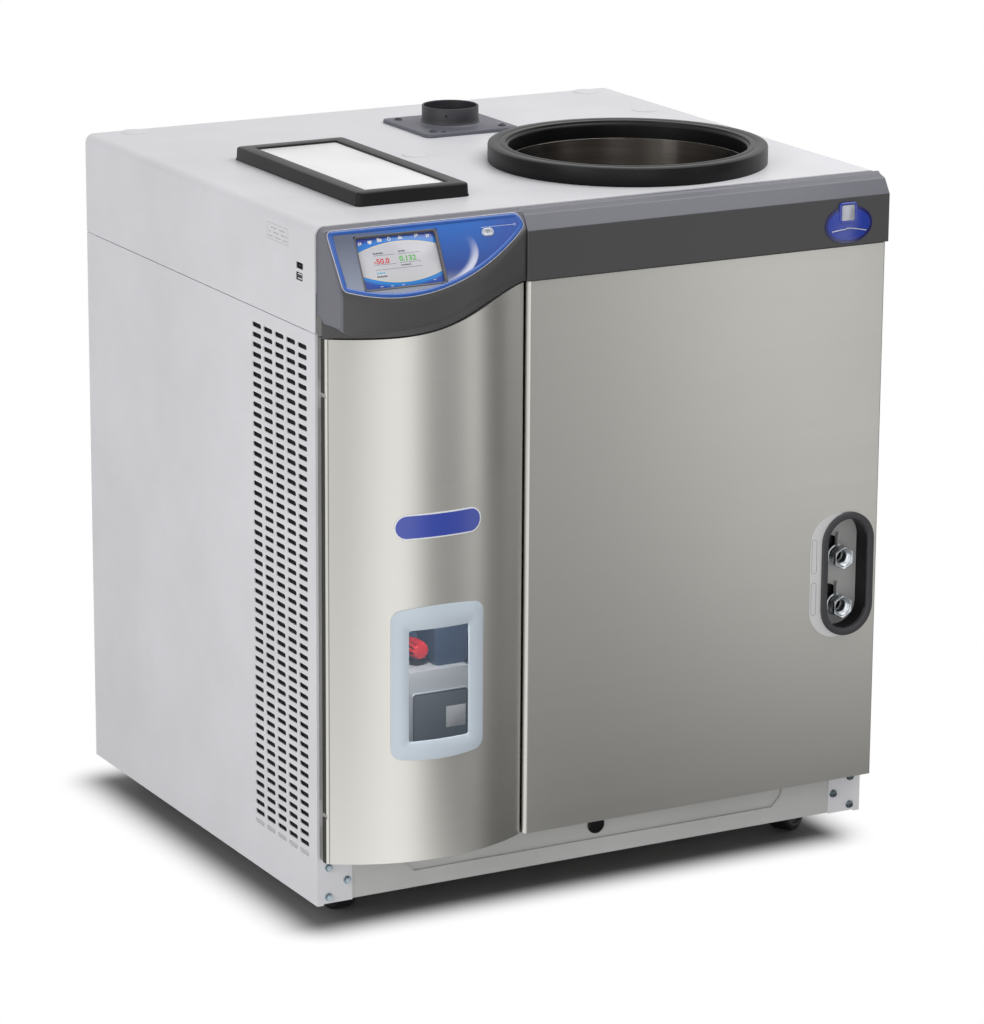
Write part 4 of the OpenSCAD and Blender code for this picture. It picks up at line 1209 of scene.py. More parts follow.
@dataclass
class Fascia(Part):
    """Control pod, its screen and overlay, and the straight band."""

    right: float = 274.4
    hole: tuple = (40.2, 152.8, -77.2, -8.4)
    top_line: float = 2.0
    end_wall: float = 9.4

    def build(self) -> None:
        """Builds every piece of the fascia."""
        self._pod()
        self._band()
        self._overlay()
        self._screen()
        self._button()
        self._badge()

    def _columns(self) -> Array:
        """Stations along the pod, closer at its rounded left corner.

        The first follow 2 + r (1 - cos t), r being the corner's radius.

        Returns:
            X of each station.
        """
        x0, x1 = self.hole[:2]
        return np.concatenate([2.0 + CORNER * (1 - np.cos(np.linspace(0, np.pi / 2, 12))),
                               np.linspace(18, x0, 6), np.linspace(47, x1, 22),
                               np.linspace(160, self.right, 22)])

    def _pod(self) -> None:
        """Pod body: for each station across, a section runs from the lower
        edge up the bowed band, back along the tilted face and over the rim.

        The section's corner points are where the cylinder of the band meets
        the lower edge curve and the plane of the face; the left end is cut
        by a wall that leans in towards the front.
        """
        stations = self._columns()
        x0, x1, v0, v1 = self.hole

        def lean(y: Union[float, Array]) -> Array:
            """X of the stations, cut by the end wall that leans in at y."""
            return np.maximum(stations, 2.0 + 0.1 * (1.0 - y))

        front = POD.front(stations)
        x_front = lean(front)
        low = band_edge(np.maximum(x_front, 9.6))
        crease = FACE.z + FACE_RISE * (front - FACE.y)
        cap = TOP - 0.6 - round_corner(stations, 14)
        rows: list[Array] = []

        def add(y: Union[float, Array], z: Union[float, Array], x: Array) -> None:
            """Stores one row of the section across all stations."""
            rows.append(np.stack(np.broadcast_arrays(x, y, np.minimum(z, cap)), -1))

        back = np.maximum(low, 755.0)
        add(0.2, back, lean(1.0))
        add(-9.0, back, lean(-9.0))
        add(-17.0, np.maximum(low, 744.0), lean(-17.0))
        step = np.minimum(2.2, (crease - low) * 0.3)
        for y, z in ((front + 1.6, low), (front + 0.45, low + 0.45), (front, low + 1.6)):
            add(y, z, x_front)
        for share in (0.25, 0.5, 0.75):
            add(front, low + 1.6 + (crease - low - 1.6 - step) * share, x_front)
        add(front, crease - step, x_front)
        add(front + 0.35, crease - step * 0.25, x_front)
        # up the face; beside the screen's hole the rows spread evenly
        foot = FACE.up_to(front)
        anchor = np.interp(x1, stations, foot)
        edge = foot + 2.2
        beside = (stations > x0 - 0.1) & (stations < x1 + 0.1)
        part = [(v - anchor) / (self.top_line - anchor) for v in (v0, v1)]
        at = [np.maximum(np.where(beside, v, foot + (self.top_line - foot) * p), edge + 0.2)
              for v, p in zip((v0, v1), part)]
        for v in (edge, *at, np.full_like(stations, self.top_line)):
            _, y, z = FACE(np.stack([stations, v, np.zeros_like(v)], -1)).T
            add(y, z, lean(y))
        for y, drop in ((-13.0, 3.4), (-7.0, 1.8), (-6.0, 1.3), (0.6, 1.2)):
            add(y, TOP - drop, lean(y))
        keep = np.ones((len(rows), len(stations) - 1), bool)
        middle = (stations[:-1] + stations[1:]) / 2
        keep[-7, (middle > x0) & (middle < x1)] = False
        # the band keeps the dark plastic; the face, the rim and the end wall take a lighter copy
        # of it: painted light where they face up and to the left
        tone = np.ones(keep.shape, int)
        tone[3:12] = 0
        tone[:, stations[:-1] < self.end_wall] = 1
        shell = Shell().grid(np.stack(rows), keep=keep, wrap_v=True, tone=tone)
        ends = np.arange(len(rows)) * len(stations)
        shell.faces += [ends[::-1].tolist(), (ends + len(stations) - 1).tolist()]
        shell.tones += [1, 0]
        # the well of the screen, closed at its foot
        corner = np.array([[x0, v0], [x1, v0], [x1, v1], [x0, v1]])
        shell.loft([at_height(corner, h) for h in (0.0, -8.0)], caps=False, place=FACE)
        shell.faces.append([shell.count - 4 + k for k in range(4)])
        self.make(shell, "pod_body", "dark_plastic", "dark_plastic", ["fascia_pod"], smooth=24,
                  others=["painted_light_plastic"])
        self._lip()

    def _lip(self) -> None:
        """Lip below the band: it follows the door's bow, between the arch and
        the band's lower edge, and turns back at its foot."""
        x = np.concatenate([[2.8], np.linspace(4.0, 272.5, 72)])
        y = np.maximum(DOOR.front(x, 0.6), POD.front(x, -0.4))
        low, high = arch(x), np.maximum(band_edge(np.maximum(x, 9.6)) + 4, arch(x) + 1.0)
        rows = [(np.full_like(x, -2.0), low), (y + 1.2, low), (y + 0.3, low + 0.3),
                (y, low + 1.2), (y, (low + high) / 2), (y, high)]
        shell = Shell().grid(np.stack([np.stack([x, a, b], -1) for a, b in rows]))
        self.make(shell, "pod_lip", "dark_plastic", "dark_plastic", closed=False, smooth=40)

    def _band(self) -> None:
        """Straight band: its side profile carried along X, with end caps."""
        profile = np.array([[-0.2, 775.0], [-31.0, 775.0], [-31.0, TOP - 25.8],
                            [-19.0, TOP - 7.2], [-7.0, TOP - 3.5], [-5.0, TOP - 1.2],
                            [-0.2, TOP - 1.0]])
        loops = [np.column_stack([np.full(len(profile), x), profile])
                 for x in (self.right + 0.5, WIDTH)]
        # the chamfer and the top take the lighter copy of the dark plastic: painted light where
        # they face up
        shell = Shell().grid(np.stack(loops), wrap_u=True, tone=np.array([0, 0, 1, 1, 1, 1, 0]))
        shell.faces += [list(range(len(profile)))[::-1],
                        list(range(len(profile), 2 * len(profile)))]
        self.make(shell, "band_body", "dark_plastic", "dark_plastic", ["fascia_band"], bevel=1.1,
                  segments=3, others=["painted_light_plastic"])

    def _outline(self) -> Array:
        """Outline of the overlay on the face, from its corners and the bow.

        Returns:
            240 points, counter-clockwise.
        """
        u = np.linspace(22.0, 256.0, 30)

        def foot(at: Array) -> Array:
            """Lower edge of the field, a little inside the face's own."""
            return FACE.up_to(POD.front(at, -2.6)) + 1.6

        corners = np.vstack([np.column_stack([u, foot(u)]), [
            [273.0, -15.0], [266.0, 1.0], [6.8, 1.0], [13.0, foot(13.0)]]])
        radii = np.concatenate([np.full(30, 1.5), [7.0, 6.5, 8.0, 5.0]])
        return resample(soften(corners, radii), 240)

    def _overlay(self) -> None:
        """Raised blue rim and the printed field inside it."""
        loop = self._outline()
        shell = Shell(FACE)
        inwards = partial(drawn_in, loop)
        shell.rim(inwards, [(0.0, 0.0), (0.0, 0.9), (0.5, 1.6), (1.8, 2.2), (3.4, 2.1), (4.8, 1.5),
                            (5.4, 0.8), (5.4, 0.0)])
        self.make(shell, "overlay_rim", "rim_blue", "blue_overlay", ["control_overlay"], smooth=60)
        bead = Shell(FACE)
        bead.rim(inwards, [(-1.3, 0.0), (-1.25, 0.5), (-0.8, 0.9), (-0.35, 0.8), (-0.05, 0.3),
                           (-0.05, 0.0)])
        self.make(bead, "overlay_bead", "silver_plastic", "silver_plastic", smooth=60)
        inner = drawn_in(loop, 5.2)
        centre, half = np.array([96.5, -42.8]), np.array([56.4, 34.5])
        turn = np.arctan2(*(inner - centre).T[::-1])
        ray = np.stack([np.cos(turn), np.sin(turn)], -1)
        hole = centre + ray * np.min(half / np.maximum(abs(ray), 1e-6), axis=1)[:, None]
        shell = Shell(FACE)
        shell.loft([at_height(edge, h) for edge, h in (
            (hole, 0.2), (hole, 0.9), (inner, 0.9), (inner, 0.2))], closed=True)
        self.make(shell, "overlay_field", "overlay", "blue_overlay")

    def _screen(self) -> None:
        """Bezel, lit picture, and the plain marks drawn on it."""
        shell = Shell(FACE)
        shell.rim(framed(40.0, 153.0, -77.4, -8.2, 5.0, shrink=0.6), [
            (0, -6), (0, 1.0), (0.6, 1.6), (1.4, 1.6), (2.6, 0.2), (3.4, -3.6), (3.4, -6)])
        self.make(shell, "screen_bezel", "bezel", "silver_plastic", ["screen_frame"], smooth=50)
        shell = Shell(FACE).plate(framed(42.6, 150.4, -74.8, -10.8, 2, shrink=0.0), -5.6, -3.0)
        self.make(shell, "screen_picture", "screen", "screen", ["touchscreen"])
        lines = Shell(FACE)
        for u0, u1, v in ((62.8, 92.0, -33.6), (96.2, 125.4, -33.8), (61.8, 91.6, -45.4),
                          (96.0, 125.0, -45.0), (62.0, 125.4, -51.4)):
            lines.block(u0, u1, v, v + 0.45, SCREEN_INK, -2.9)
        self.make(lines, "screen_lines", "ink_grey", "screen")
        words = Shell(FACE)
        for u, v, count, high in ((63, -31.6, 9, 1.9), (97.5, -31.4, 6, 1.9),
                                  (97.5, -48.6, 11, 1.5), (62.5, -60.6, 8, 2.1)):
            self._greeked(words, u, v, count, high)
        self.make(words, "screen_words", "ink_dark", "screen")
        state = Shell(FACE)
        self._greeked(state, 63.0, -56.2, 7, 1.9)
        self.make(state, "screen_state", "ink_blue", "screen")
        self._icons()
        self._number("-50.0", 62.0, -43.9, 9.2, "ink_red")
        self._number("0.132", 96.6, -42.9, 9.2, "ink_green")

    def _icons(self) -> None:
        """Row of blank icons in the upper band and bars in the lower one."""
        icons = Shell(FACE)
        high = -2.85
        for u, v in ((46.5, -19.2), (123.5, -15.4), (138.5, -17.4)):
            icons.block(u, u + 1.7, v, v + 4.2, SCREEN_INK, high)
            icons.block(u + 2.3, u + 4.4, v + 1.0, v + 4.2, SCREEN_INK, high)
        for sides in ((72.5, 78.6, -16.6, -12.9), (72.5, 75.4, -12.9, -12.1),
                      (59.6, 65.0, -17.4, -14.0), (61.4, 63.2, -18.6, -17.4)):
            icons.block(*sides, SCREEN_INK, high)
        icons.rim(lambda i: circle(2.5 - i, 20, 88.5, -14.2),
                  [(0, SCREEN_INK), (0, high), (1.2, high), (1.2, SCREEN_INK)])
        bell = np.array([[100.0, -15.6], [107.6, -15.6], [105.6, -12.6], [102.4, -11.8]])
        icons.loft([at_height(bell, h) for h in (SCREEN_INK, high)])
        for u, v in ((64, -72.4), (78, -72.8), (93, -72.8), (136, -70.6)):
            self._greeked(icons, u, v, 4, 1.1)
        self.make(icons, "screen_icons", "ink_white", "screen")

    @staticmethod
    def _greeked(shell: Shell, u: float, v: float, count: int, high: float) -> None:
        """Row of small bars that stands for a line of print, with no letters.

        The widths follow 0.55 + 0.25 sin(2.3 k) of the height.

        Args:
            shell: Shell that takes the bars.
            u, v: Lower left corner of the row.
            count: Bars in the row.
            high: Height of the row.
        """
        for k in range(count):
            wide = high * (0.55 + 0.25 * math.sin(2.3 * k))
            shell.block(u, u + wide, v, v + high * (0.8 + 0.2 * (k % 3 == 0)), SCREEN_INK, -2.88)
            u += wide + high * 0.28

    def _number(self, text: str, u: float, v: float, size: float, finish: str) -> None:
        """Sets a reading in the built-in font, flat on the picture.

        Args:
            text: The reading.
            u, v: Lower left corner.
            size: Height of the font.
            finish: Name of the finish.
        """
        curve = bpy.data.curves.new("reading", "FONT")
        curve.body, curve.size, curve.extrude, curve.offset = text, size, 0.08, 0.16
        curve.resolution_u = 3
        made = linked("reading", curve)
        bpy.context.view_layer.update()
        mesh = bpy.data.meshes.new_from_object(made.evaluated_get(
            bpy.context.evaluated_depsgraph_get()))
        bpy.data.objects.remove(made)
        local = np.zeros(len(mesh.vertices) * 3, np.float32)
        mesh.vertices.foreach_get("co", local)
        local = local.reshape(-1, 3).astype(float) * np.array([1.12, 1.0, 1.0])
        placed = (FACE(local + np.array([u, v, -2.95])) + ORIGIN) * MM
        mesh.vertices.foreach_set("co", placed.astype(np.float32).ravel())
        mesh.materials.clear()
        mesh.materials.append(self.finishes[finish])
        name = "reading_" + finish.split("_")[1]
        mesh.name = name
        hang(linked(name, mesh), self.body)

    def _button(self) -> None:
        """Silver push button with a ring mark, over a thin printed line."""
        u, v = 220.5, -19.5
        shell = Shell(FACE)
        shell.swept(framed(u - 8.2, u + 8.2, v - 5.2, v + 5.2, 5.15, arc=10),
                    [(0, -4), (0, 2.0), (0.4, 2.5), (1.2, 2.7), (2.4, 2.5), (4.2, 2.35)])
        self.make(shell, "push_button", "silver_plastic", "silver_plastic", ["power_button"],
                  "power_button", smooth=60)
        mark = Shell(FACE)
        mark.rim(lambda i: circle(2.1 - i, 24, u, v),
                 [(0, 2.2), (0, 2.62), (0.5, 2.62), (0.5, 2.2)])
        mark.block(u - 0.3, u + 0.3, v + 0.6, v + 2.7, 2.3, 2.66)
        self.make(mark, "button_mark", "ink_grey", "silver_plastic", body="power_button")
        line = Shell(FACE).block(213.0, 257.5, -13.2, -12.8, 0.85, 0.97)
        line.rim(lambda i: circle(1.5 - i, 20, 259.4, -13.0),
                 [(0, 0.85), (0, 0.97), (0.4, 0.97), (0.4, 0.85)])
        self.make(line, "overlay_mark", "ink_white", "blue_overlay")

    def _badge(self) -> None:
        """Plain oval badge: deep rim, bright field, square chip and a line."""
        middle = (WIDTH - 62.0, 803.0)
        shell = Shell(BADGE_WALL).plate(oval(*middle, 35.5, 24.5), 0.05, 1.2, 0.6)
        self.make(shell, "badge_base", "badge_deep", "blue_overlay", ["panel_badge"])
        shell = Shell(BADGE_WALL).plate(oval(*middle, 31.5, 20.5), 1.1, 1.7, 0.5)
        self.make(shell, "badge_field", "badge_blue", "blue_overlay")
        chip = Shell(BADGE_WALL)
        chip.rim(framed(WIDTH - 77, WIDTH - 51, 805, 832, 4.5, shrink=0.8),
                 [(0, 0.2), (0, 2.4), (0.6, 3.0), (2.4, 3.0), (3.0, 2.6), (3.0, 0.2)])
        self.make(chip, "badge_chip", "badge_blue", "blue_overlay")
        face = Shell(BADGE_WALL)
        face.plate(framed(WIDTH - 73.5, WIDTH - 54.5, 808.5, 828.5, 1.5, shrink=0.0), 0.6, 2.6)
        self.make(face, "badge_face", "silver_plastic", "silver_plastic")
        x = np.linspace(WIDTH - 88, WIDTH - 36, 24)
        swing = np.where(x < WIDTH - 66, 0.6, 1.0)
        z = 795.5 + 3.0 * np.sin((x - x[0]) / 52 * np.pi * 1.2) * swing
        sweep = Shell()
        sweep.grid(tube(np.stack([x, np.full_like(x, -32.9), z], -1), 0.7, 8), wrap_u=True)
        self.make(sweep, "badge_line", "silver_plastic", "silver_plastic")


@dataclass
class Door(Part):
    """Bowed door with its window and badge."""

    body: str = "door"
    left: float = 5.5
    right: float = 274.2
    foot: float = 60.0
    window: tuple = (95.3, 185.0)

    def build(self) -> None:
        """Builds the skin, window and badge, and dresses the hinge."""
        self._skin()
        self._window()
        self._badge()
        # the hinge pins take the darker steel of the return: painted shade in the notches
        self.finishes.dress({"door_frame": "grey_coat", "hinge_arms": "grey_coat",
                             "hinge_pins": "painted_shade_steel", "door_catch": "black_plastic"})

    def _skin(self) -> None:
        """Stainless skin: a plan profile carried up to the arched top edge.

        The plan runs forward along the left return, over a shallow bead and
        round the bow, and back along the right return. Heights share fixed
        levels, so that the window is a block of cells left out.
        """
        x0, x1 = self.window
        x = np.unique(np.concatenate([np.linspace(9.6, x0, 26), np.linspace(100, x1, 24),
                                      np.linspace(x1, self.right - 1.6, 28)]))
        y = DOOR.front(x)
        start = np.array([[self.left, -4.9], [self.left, -12.6], [self.left + 0.5, -13.7],
                          [self.left + 1.5, -14.4], [8.0, -15.6], [8.4, -15.0], [9.1, -15.4]])
        end = np.array([[self.right - 0.5, y[-1] + 0.9], [self.right, y[-1] + 2.2],
                        [self.right, -12.0], [self.right, -1.6]])
        plan = np.vstack([start, np.column_stack([x, y]), end])
        levels = (self.foot, 100, 119.2, 124.8, 160, 212.5, 260, 312, 363.5, 430, 500, 570,
                  654.2, 659.8, 700)
        points = np.stack([at_height(plan, z) for z in levels]
                          + [np.column_stack([plan, arch(plan[:, 0]) - 2.0])])
        keep = np.ones((len(points) - 1, len(plan) - 1), bool)
        middle = (plan[:-1, 0] + plan[1:, 0]) / 2
        keep[5:8, (middle > x0) & (middle < x1)] = False
        # notches for the two hinge arms
        keep[2, :3] = keep[12, :3] = False
        # the left return takes a darker steel: painted shade of the deep return
        tone = np.zeros(keep.shape, int)
        tone[:, :2] = 1
        # the map keeps arc length across, for the drawn grain
        shell = Shell().sheet(points, reach_along(plan), keep=keep, tone=tone)
        self.make(shell, "door_shell", "stainless", "stainless", ["door_skin"], wall=1.3,
                  closed=False, smooth=30, others=["painted_shade_steel"])

    def _window(self) -> None:
        """Frosted border and the clear pane, both bowed with the skin."""
        shell = Shell(DOOR)
        x0, x1, middle = 77.3, 203.3, 290

        def border(i: float) -> Array:
            """Rounded outline whose ends bow out by 5 mm of a parabola.

            Args:
                i: How far the outline is drawn in.

            Returns:
                Points of shape (n, 2).
            """
            loop = framed(x0, x1, 196, 384, 12, 8, 24)(i)
            bow = 5.0 * (1 - ((loop[:, 0] - (x0 + x1) / 2) / ((x1 - x0) / 2)) ** 2)
            ends = np.clip(abs(loop[:, 1] - middle) - 74, 0, 1)
            return loop + np.column_stack([0 * bow, np.sign(loop[:, 1] - middle) * bow * ends])

        opening = framed(99.3, 181, 216.5, 359.5, 3.0, 8, 24)
        shell.loft([at_height(edge(i), h) for edge, i, h in (
            (border, 0, 0.05), (border, 0, 1.1), (border, 0.5, 1.6),
            (opening, -0.4, 1.6), (opening, 0, 1.2), (opening, 0, 0.05))], closed=True)
        self.make(shell, "window_border", "frosted", "frosted", ["window_frame"], smooth=50)
        x, z = np.meshgrid(np.linspace(95.6, 184.7, 24), np.linspace(213, 363, 6))
        pane = Shell(DOOR).grid(np.stack([x, z, np.full_like(x, -0.1)], -1))
        self.make(pane, "window_clear", "window", "window", ["window_pane"], wall=1.2,
                  closed=False)

    def _badge(self) -> None:
        """Plain pill: white border and blue field."""
        for name, finish, gap, low, high in (("door_badge_edge", "badge_white", 0.0, 0.15, 0.8),
                                             ("door_badge_field", "badge_blue", 1.8, 0.6, 1.1)):
            shell = Shell(DOOR)
            shell.swept(lambda i: self._pill(gap + i).reshape(-1, 2),
                        [(0, low), (0, high - 0.2), (0.3, high)], caps=False)
            upper, lower = self._pill(gap + 0.3)
            share = np.linspace(0, 1, 5)[:, None, None]
            field = upper[None, ::-1] * (1 - share) + lower[None] * share
            shell.grid(np.concatenate([field, np.full(field.shape[:2] + (1,), high)], -1))
            self.make(shell, name, finish, "blue_overlay", ["door_badge"] if gap == 0.0 else (),
                      smooth=40, closed=False)

    @staticmethod
    def _pill(inset: float) -> Array:
        """Lower and upper half of a pill: b out to a - b, then an arc of b.

        Both run along x = a sin(t); the upper one runs back, so that the two
        together are one loop.

        Args:
            inset: How far the outline is drawn in.

        Returns:
            Points of shape (2, 64, 2).
        """
        a, b = 59.0 - inset, 16.0 - inset
        x = a * np.sin(np.linspace(-np.pi / 2, np.pi / 2, 64))
        high = np.sqrt(np.clip(b ** 2 - np.clip(abs(x) - (a - b), 0, None) ** 2, 0.0004, None))
        return np.stack([np.column_stack([140 + x, 491 - high]),
                         np.column_stack([140 + x, 491 + high])[::-1]])


@dataclass
class DrainSide(Part):
    """Flat front panel with its drain recess."""

    left: float = 276.2
    right: float = 798.5
    plane: float = -29.0
    foot: float = 60.0
    head: float = 774.0
    x: float = 753.0
    z: float = 340.0
    heights: tuple = (293.0, 359.0)
    trim: tuple = (78.8, 165.5)
    bore: tuple = (64.5, 152.5)

    def build(self) -> None:
        """Builds the panel, trim, pocket, bracket and couplings."""
        self._panel()
        self._trim()
        self._pocket()
        self._couplings()

    def _panel(self) -> None:
        """Panel sheet: rolled edges carried up at both sides, and between
        them one ring of faces from the racetrack hole to the flat's outline.

        Each point of the outline lies where a ray from the hole's centre
        through a point of the hole meets it, and the four nearest to a
        corner move into that corner.
        """
        turn = np.linspace(np.pi, 1.5 * np.pi, 9)
        roll = np.column_stack([self.left + 6 + 6 * np.cos(turn),
                                self.plane + 6 + 6 * np.sin(turn)])
        x0, x1 = self.left + 6.8, self.right - 1.8
        near = np.vstack([[[self.left, -1.0], [self.left, self.plane + 7]], roll,
                          [[x0, self.plane]]])
        far = np.array([[x1, self.plane], [self.right - 1.0, self.plane + 0.15],
                        [self.right - 0.3, self.plane + 0.8], [self.right, self.plane + 2.2],
                        [self.right, self.plane + 3.0], [self.right, -1.0]])
        shell = Shell(Wall(self.plane))
        for plan in (near, far):
            rows = np.stack([at_height(plan, z) for z in (self.foot, self.head)])
            across = reach_along(plan)
            across += x0 - across[-1] if plan is near else x1
            shell.sheet(rows, across)
        hole = racetrack(self.x, self.z, *self.bore)
        offset = hole - [self.x, self.z]
        side = np.where(offset > 0, [x1 - self.x, self.head - self.z],
                        [self.x - x0, self.z - self.foot])
        further = np.min(side / np.maximum(abs(offset), 1e-6), axis=1)[:, None] - 1
        square = hole + offset * further
        for corner in ((x0, self.foot), (x1, self.foot), (x1, self.head), (x0, self.head)):
            square[np.argmin(np.linalg.norm(square - corner, axis=1))] = corner
        shell.grid(np.stack([at_height(square, 0.0), at_height(hole, 0.0)]), wrap_u=True)
        self.make(shell, "panel_sheet", "stainless", "stainless", ["front_panel"], wall=1.4,
                  closed=False, smooth=30)
        flange = Shell()
        for z in (self.foot, self.head - 1.4):
            flange.block(self.left + 1.6, self.right - 1.6, self.plane + 1.6, -1.0, z + 0.05,
                         z + 1.35)
        self.make(flange, "panel_flanges", "stainless", "stainless")

    def _trim(self) -> None:
        """Dark rubber-like trim ring and the pale label beside it."""
        shell = Shell(Wall(self.plane))
        shell.rim(partial(racetrack, self.x, self.z, *self.trim), [
            (0, 0.05), (0, 2.4), (0.5, 3.5), (1.6, 4.0), (7.4, 4.0), (8.5, 3.5), (9.0, 2.6),
            (9.0, -3.0), (7.2, -3.0), (7.2, 0.05)])
        self.make(shell, "recess_trim", "trim_plastic", "dark_plastic", ["drain_trim"], smooth=50)
        label = Shell(Wall(self.plane)).plate(self._crescent, 0.05, 0.9, 0.3)
        self.make(label, "recess_label", "label", "label", ["drain_label_plate"])
        marks = Shell(Wall(self.plane))
        for low, high in ((346.0, 392.0), (290.0, 334.0)):
            marks.rim(framed(698.4, 706.2, low, high, 3.6),
                      [(0, 0.8), (0, 1.02), (0.6, 1.02), (0.6, 0.8)])
        self.make(marks, "label_outlines", "label_line", "label")

    def _crescent(self, inset: float) -> Array:
        """Label's outline: a racetrack moved left, less the trim's own.

        The height follows b cos(t); each side is the racetrack's half width
        sqrt(a^2 - over^2) at that height, over being the part past the
        straight.

        Args:
            inset: How far the outline is drawn in.

        Returns:
            Points of shape (96, 2).
        """
        a, b = self.trim[0] / 2, self.trim[1] / 2
        z = (b - inset) * np.cos(np.linspace(0, np.pi, 49))
        over = np.clip(abs(z) - (b - a), 0, None)
        half = np.sqrt(np.clip(a ** 2 - over ** 2, 0, None))
        middle = self.x - 17
        left = middle - half + inset
        right = np.minimum(self.x - half + 3.0, middle + half - inset)
        right = np.maximum(right, left + 0.02)
        down, up = np.column_stack([left, self.z + z]), np.column_stack([right, self.z + z])
        return np.vstack([down, up[::-1][1:-1]])

    def _pocket(self) -> None:
        """Black wall of the recess and the pale bracket behind it."""
        shell = Shell(Wall(self.plane))
        track = partial(racetrack, self.x, self.z, *self.bore)
        shell.rim(track, [(0.3, -28.6), (0.3, -0.2), (2.0, -0.2), (2.0, -28.6)])
        self.make(shell, "recess_wall", "black_plastic", "black_plastic", ["drain_pocket"],
                  smooth=50)
        self.finishes.dress({"drain_bracket": "grey_coat"})
        back = Shell(Wall(0.0)).plate(track, -1.4, 0.2, 0.1)
        self.make(back, "recess_back", "black_plastic", "black_plastic")
        tabs = Shell(Wall(-4.0))
        for z in self.heights:
            bent = np.array([[self.x - 3.2, z + 12.0], [self.x - 1.8, z + 12.0],
                             [self.x - 1.8, z + 32.0], [self.x - 3.2, z + 26.0]])
            tabs.loft([at_height(bent, 0.0), at_height(bent, 7.0)])
        self.make(tabs, "bracket_tabs", "grey_coat", "grey_coat", bevel=0.4)

    def _couplings(self) -> None:
        """Hexagon unions: crowned nut, threaded bore and a flanged tail."""
        shell = Shell()
        for z in self.heights:
            place = Spindle((self.x, -4.0, z), (0, -1, 0))
            thread = [(11.3 - 0.5 * (k % 2), 17.6 - 0.6 * k) for k in range(12)]
            shell.loft([at_height(resample(circle(1.0, 6) @ TURN * r, 72), h) for r, h in (
                (15.2, 8.6), (15.6, 9.4), (15.6, 18.2), (14.9, 19.0))]
                + [at_height(circle(r, 72) @ TURN, h) for r, h in (
                    (12.4, 19.0), (11.3, 18.2), *thread, (8.8, 10.2), (8.8, 8.6))],
                closed=True, place=place)
            shell.turned([(8.8, 8.7), (13.2, 8.7), (13.5, 8.2), (13.5, 3.0), (15.0, 2.4),
                          (15.0, 0.1), (8.8, 0.1)], closed=True, count=48, place=place)
        self.make(shell, "drain_unions", "bright_steel", "bright_steel", ["drain_couplings"],
                  smooth=40)


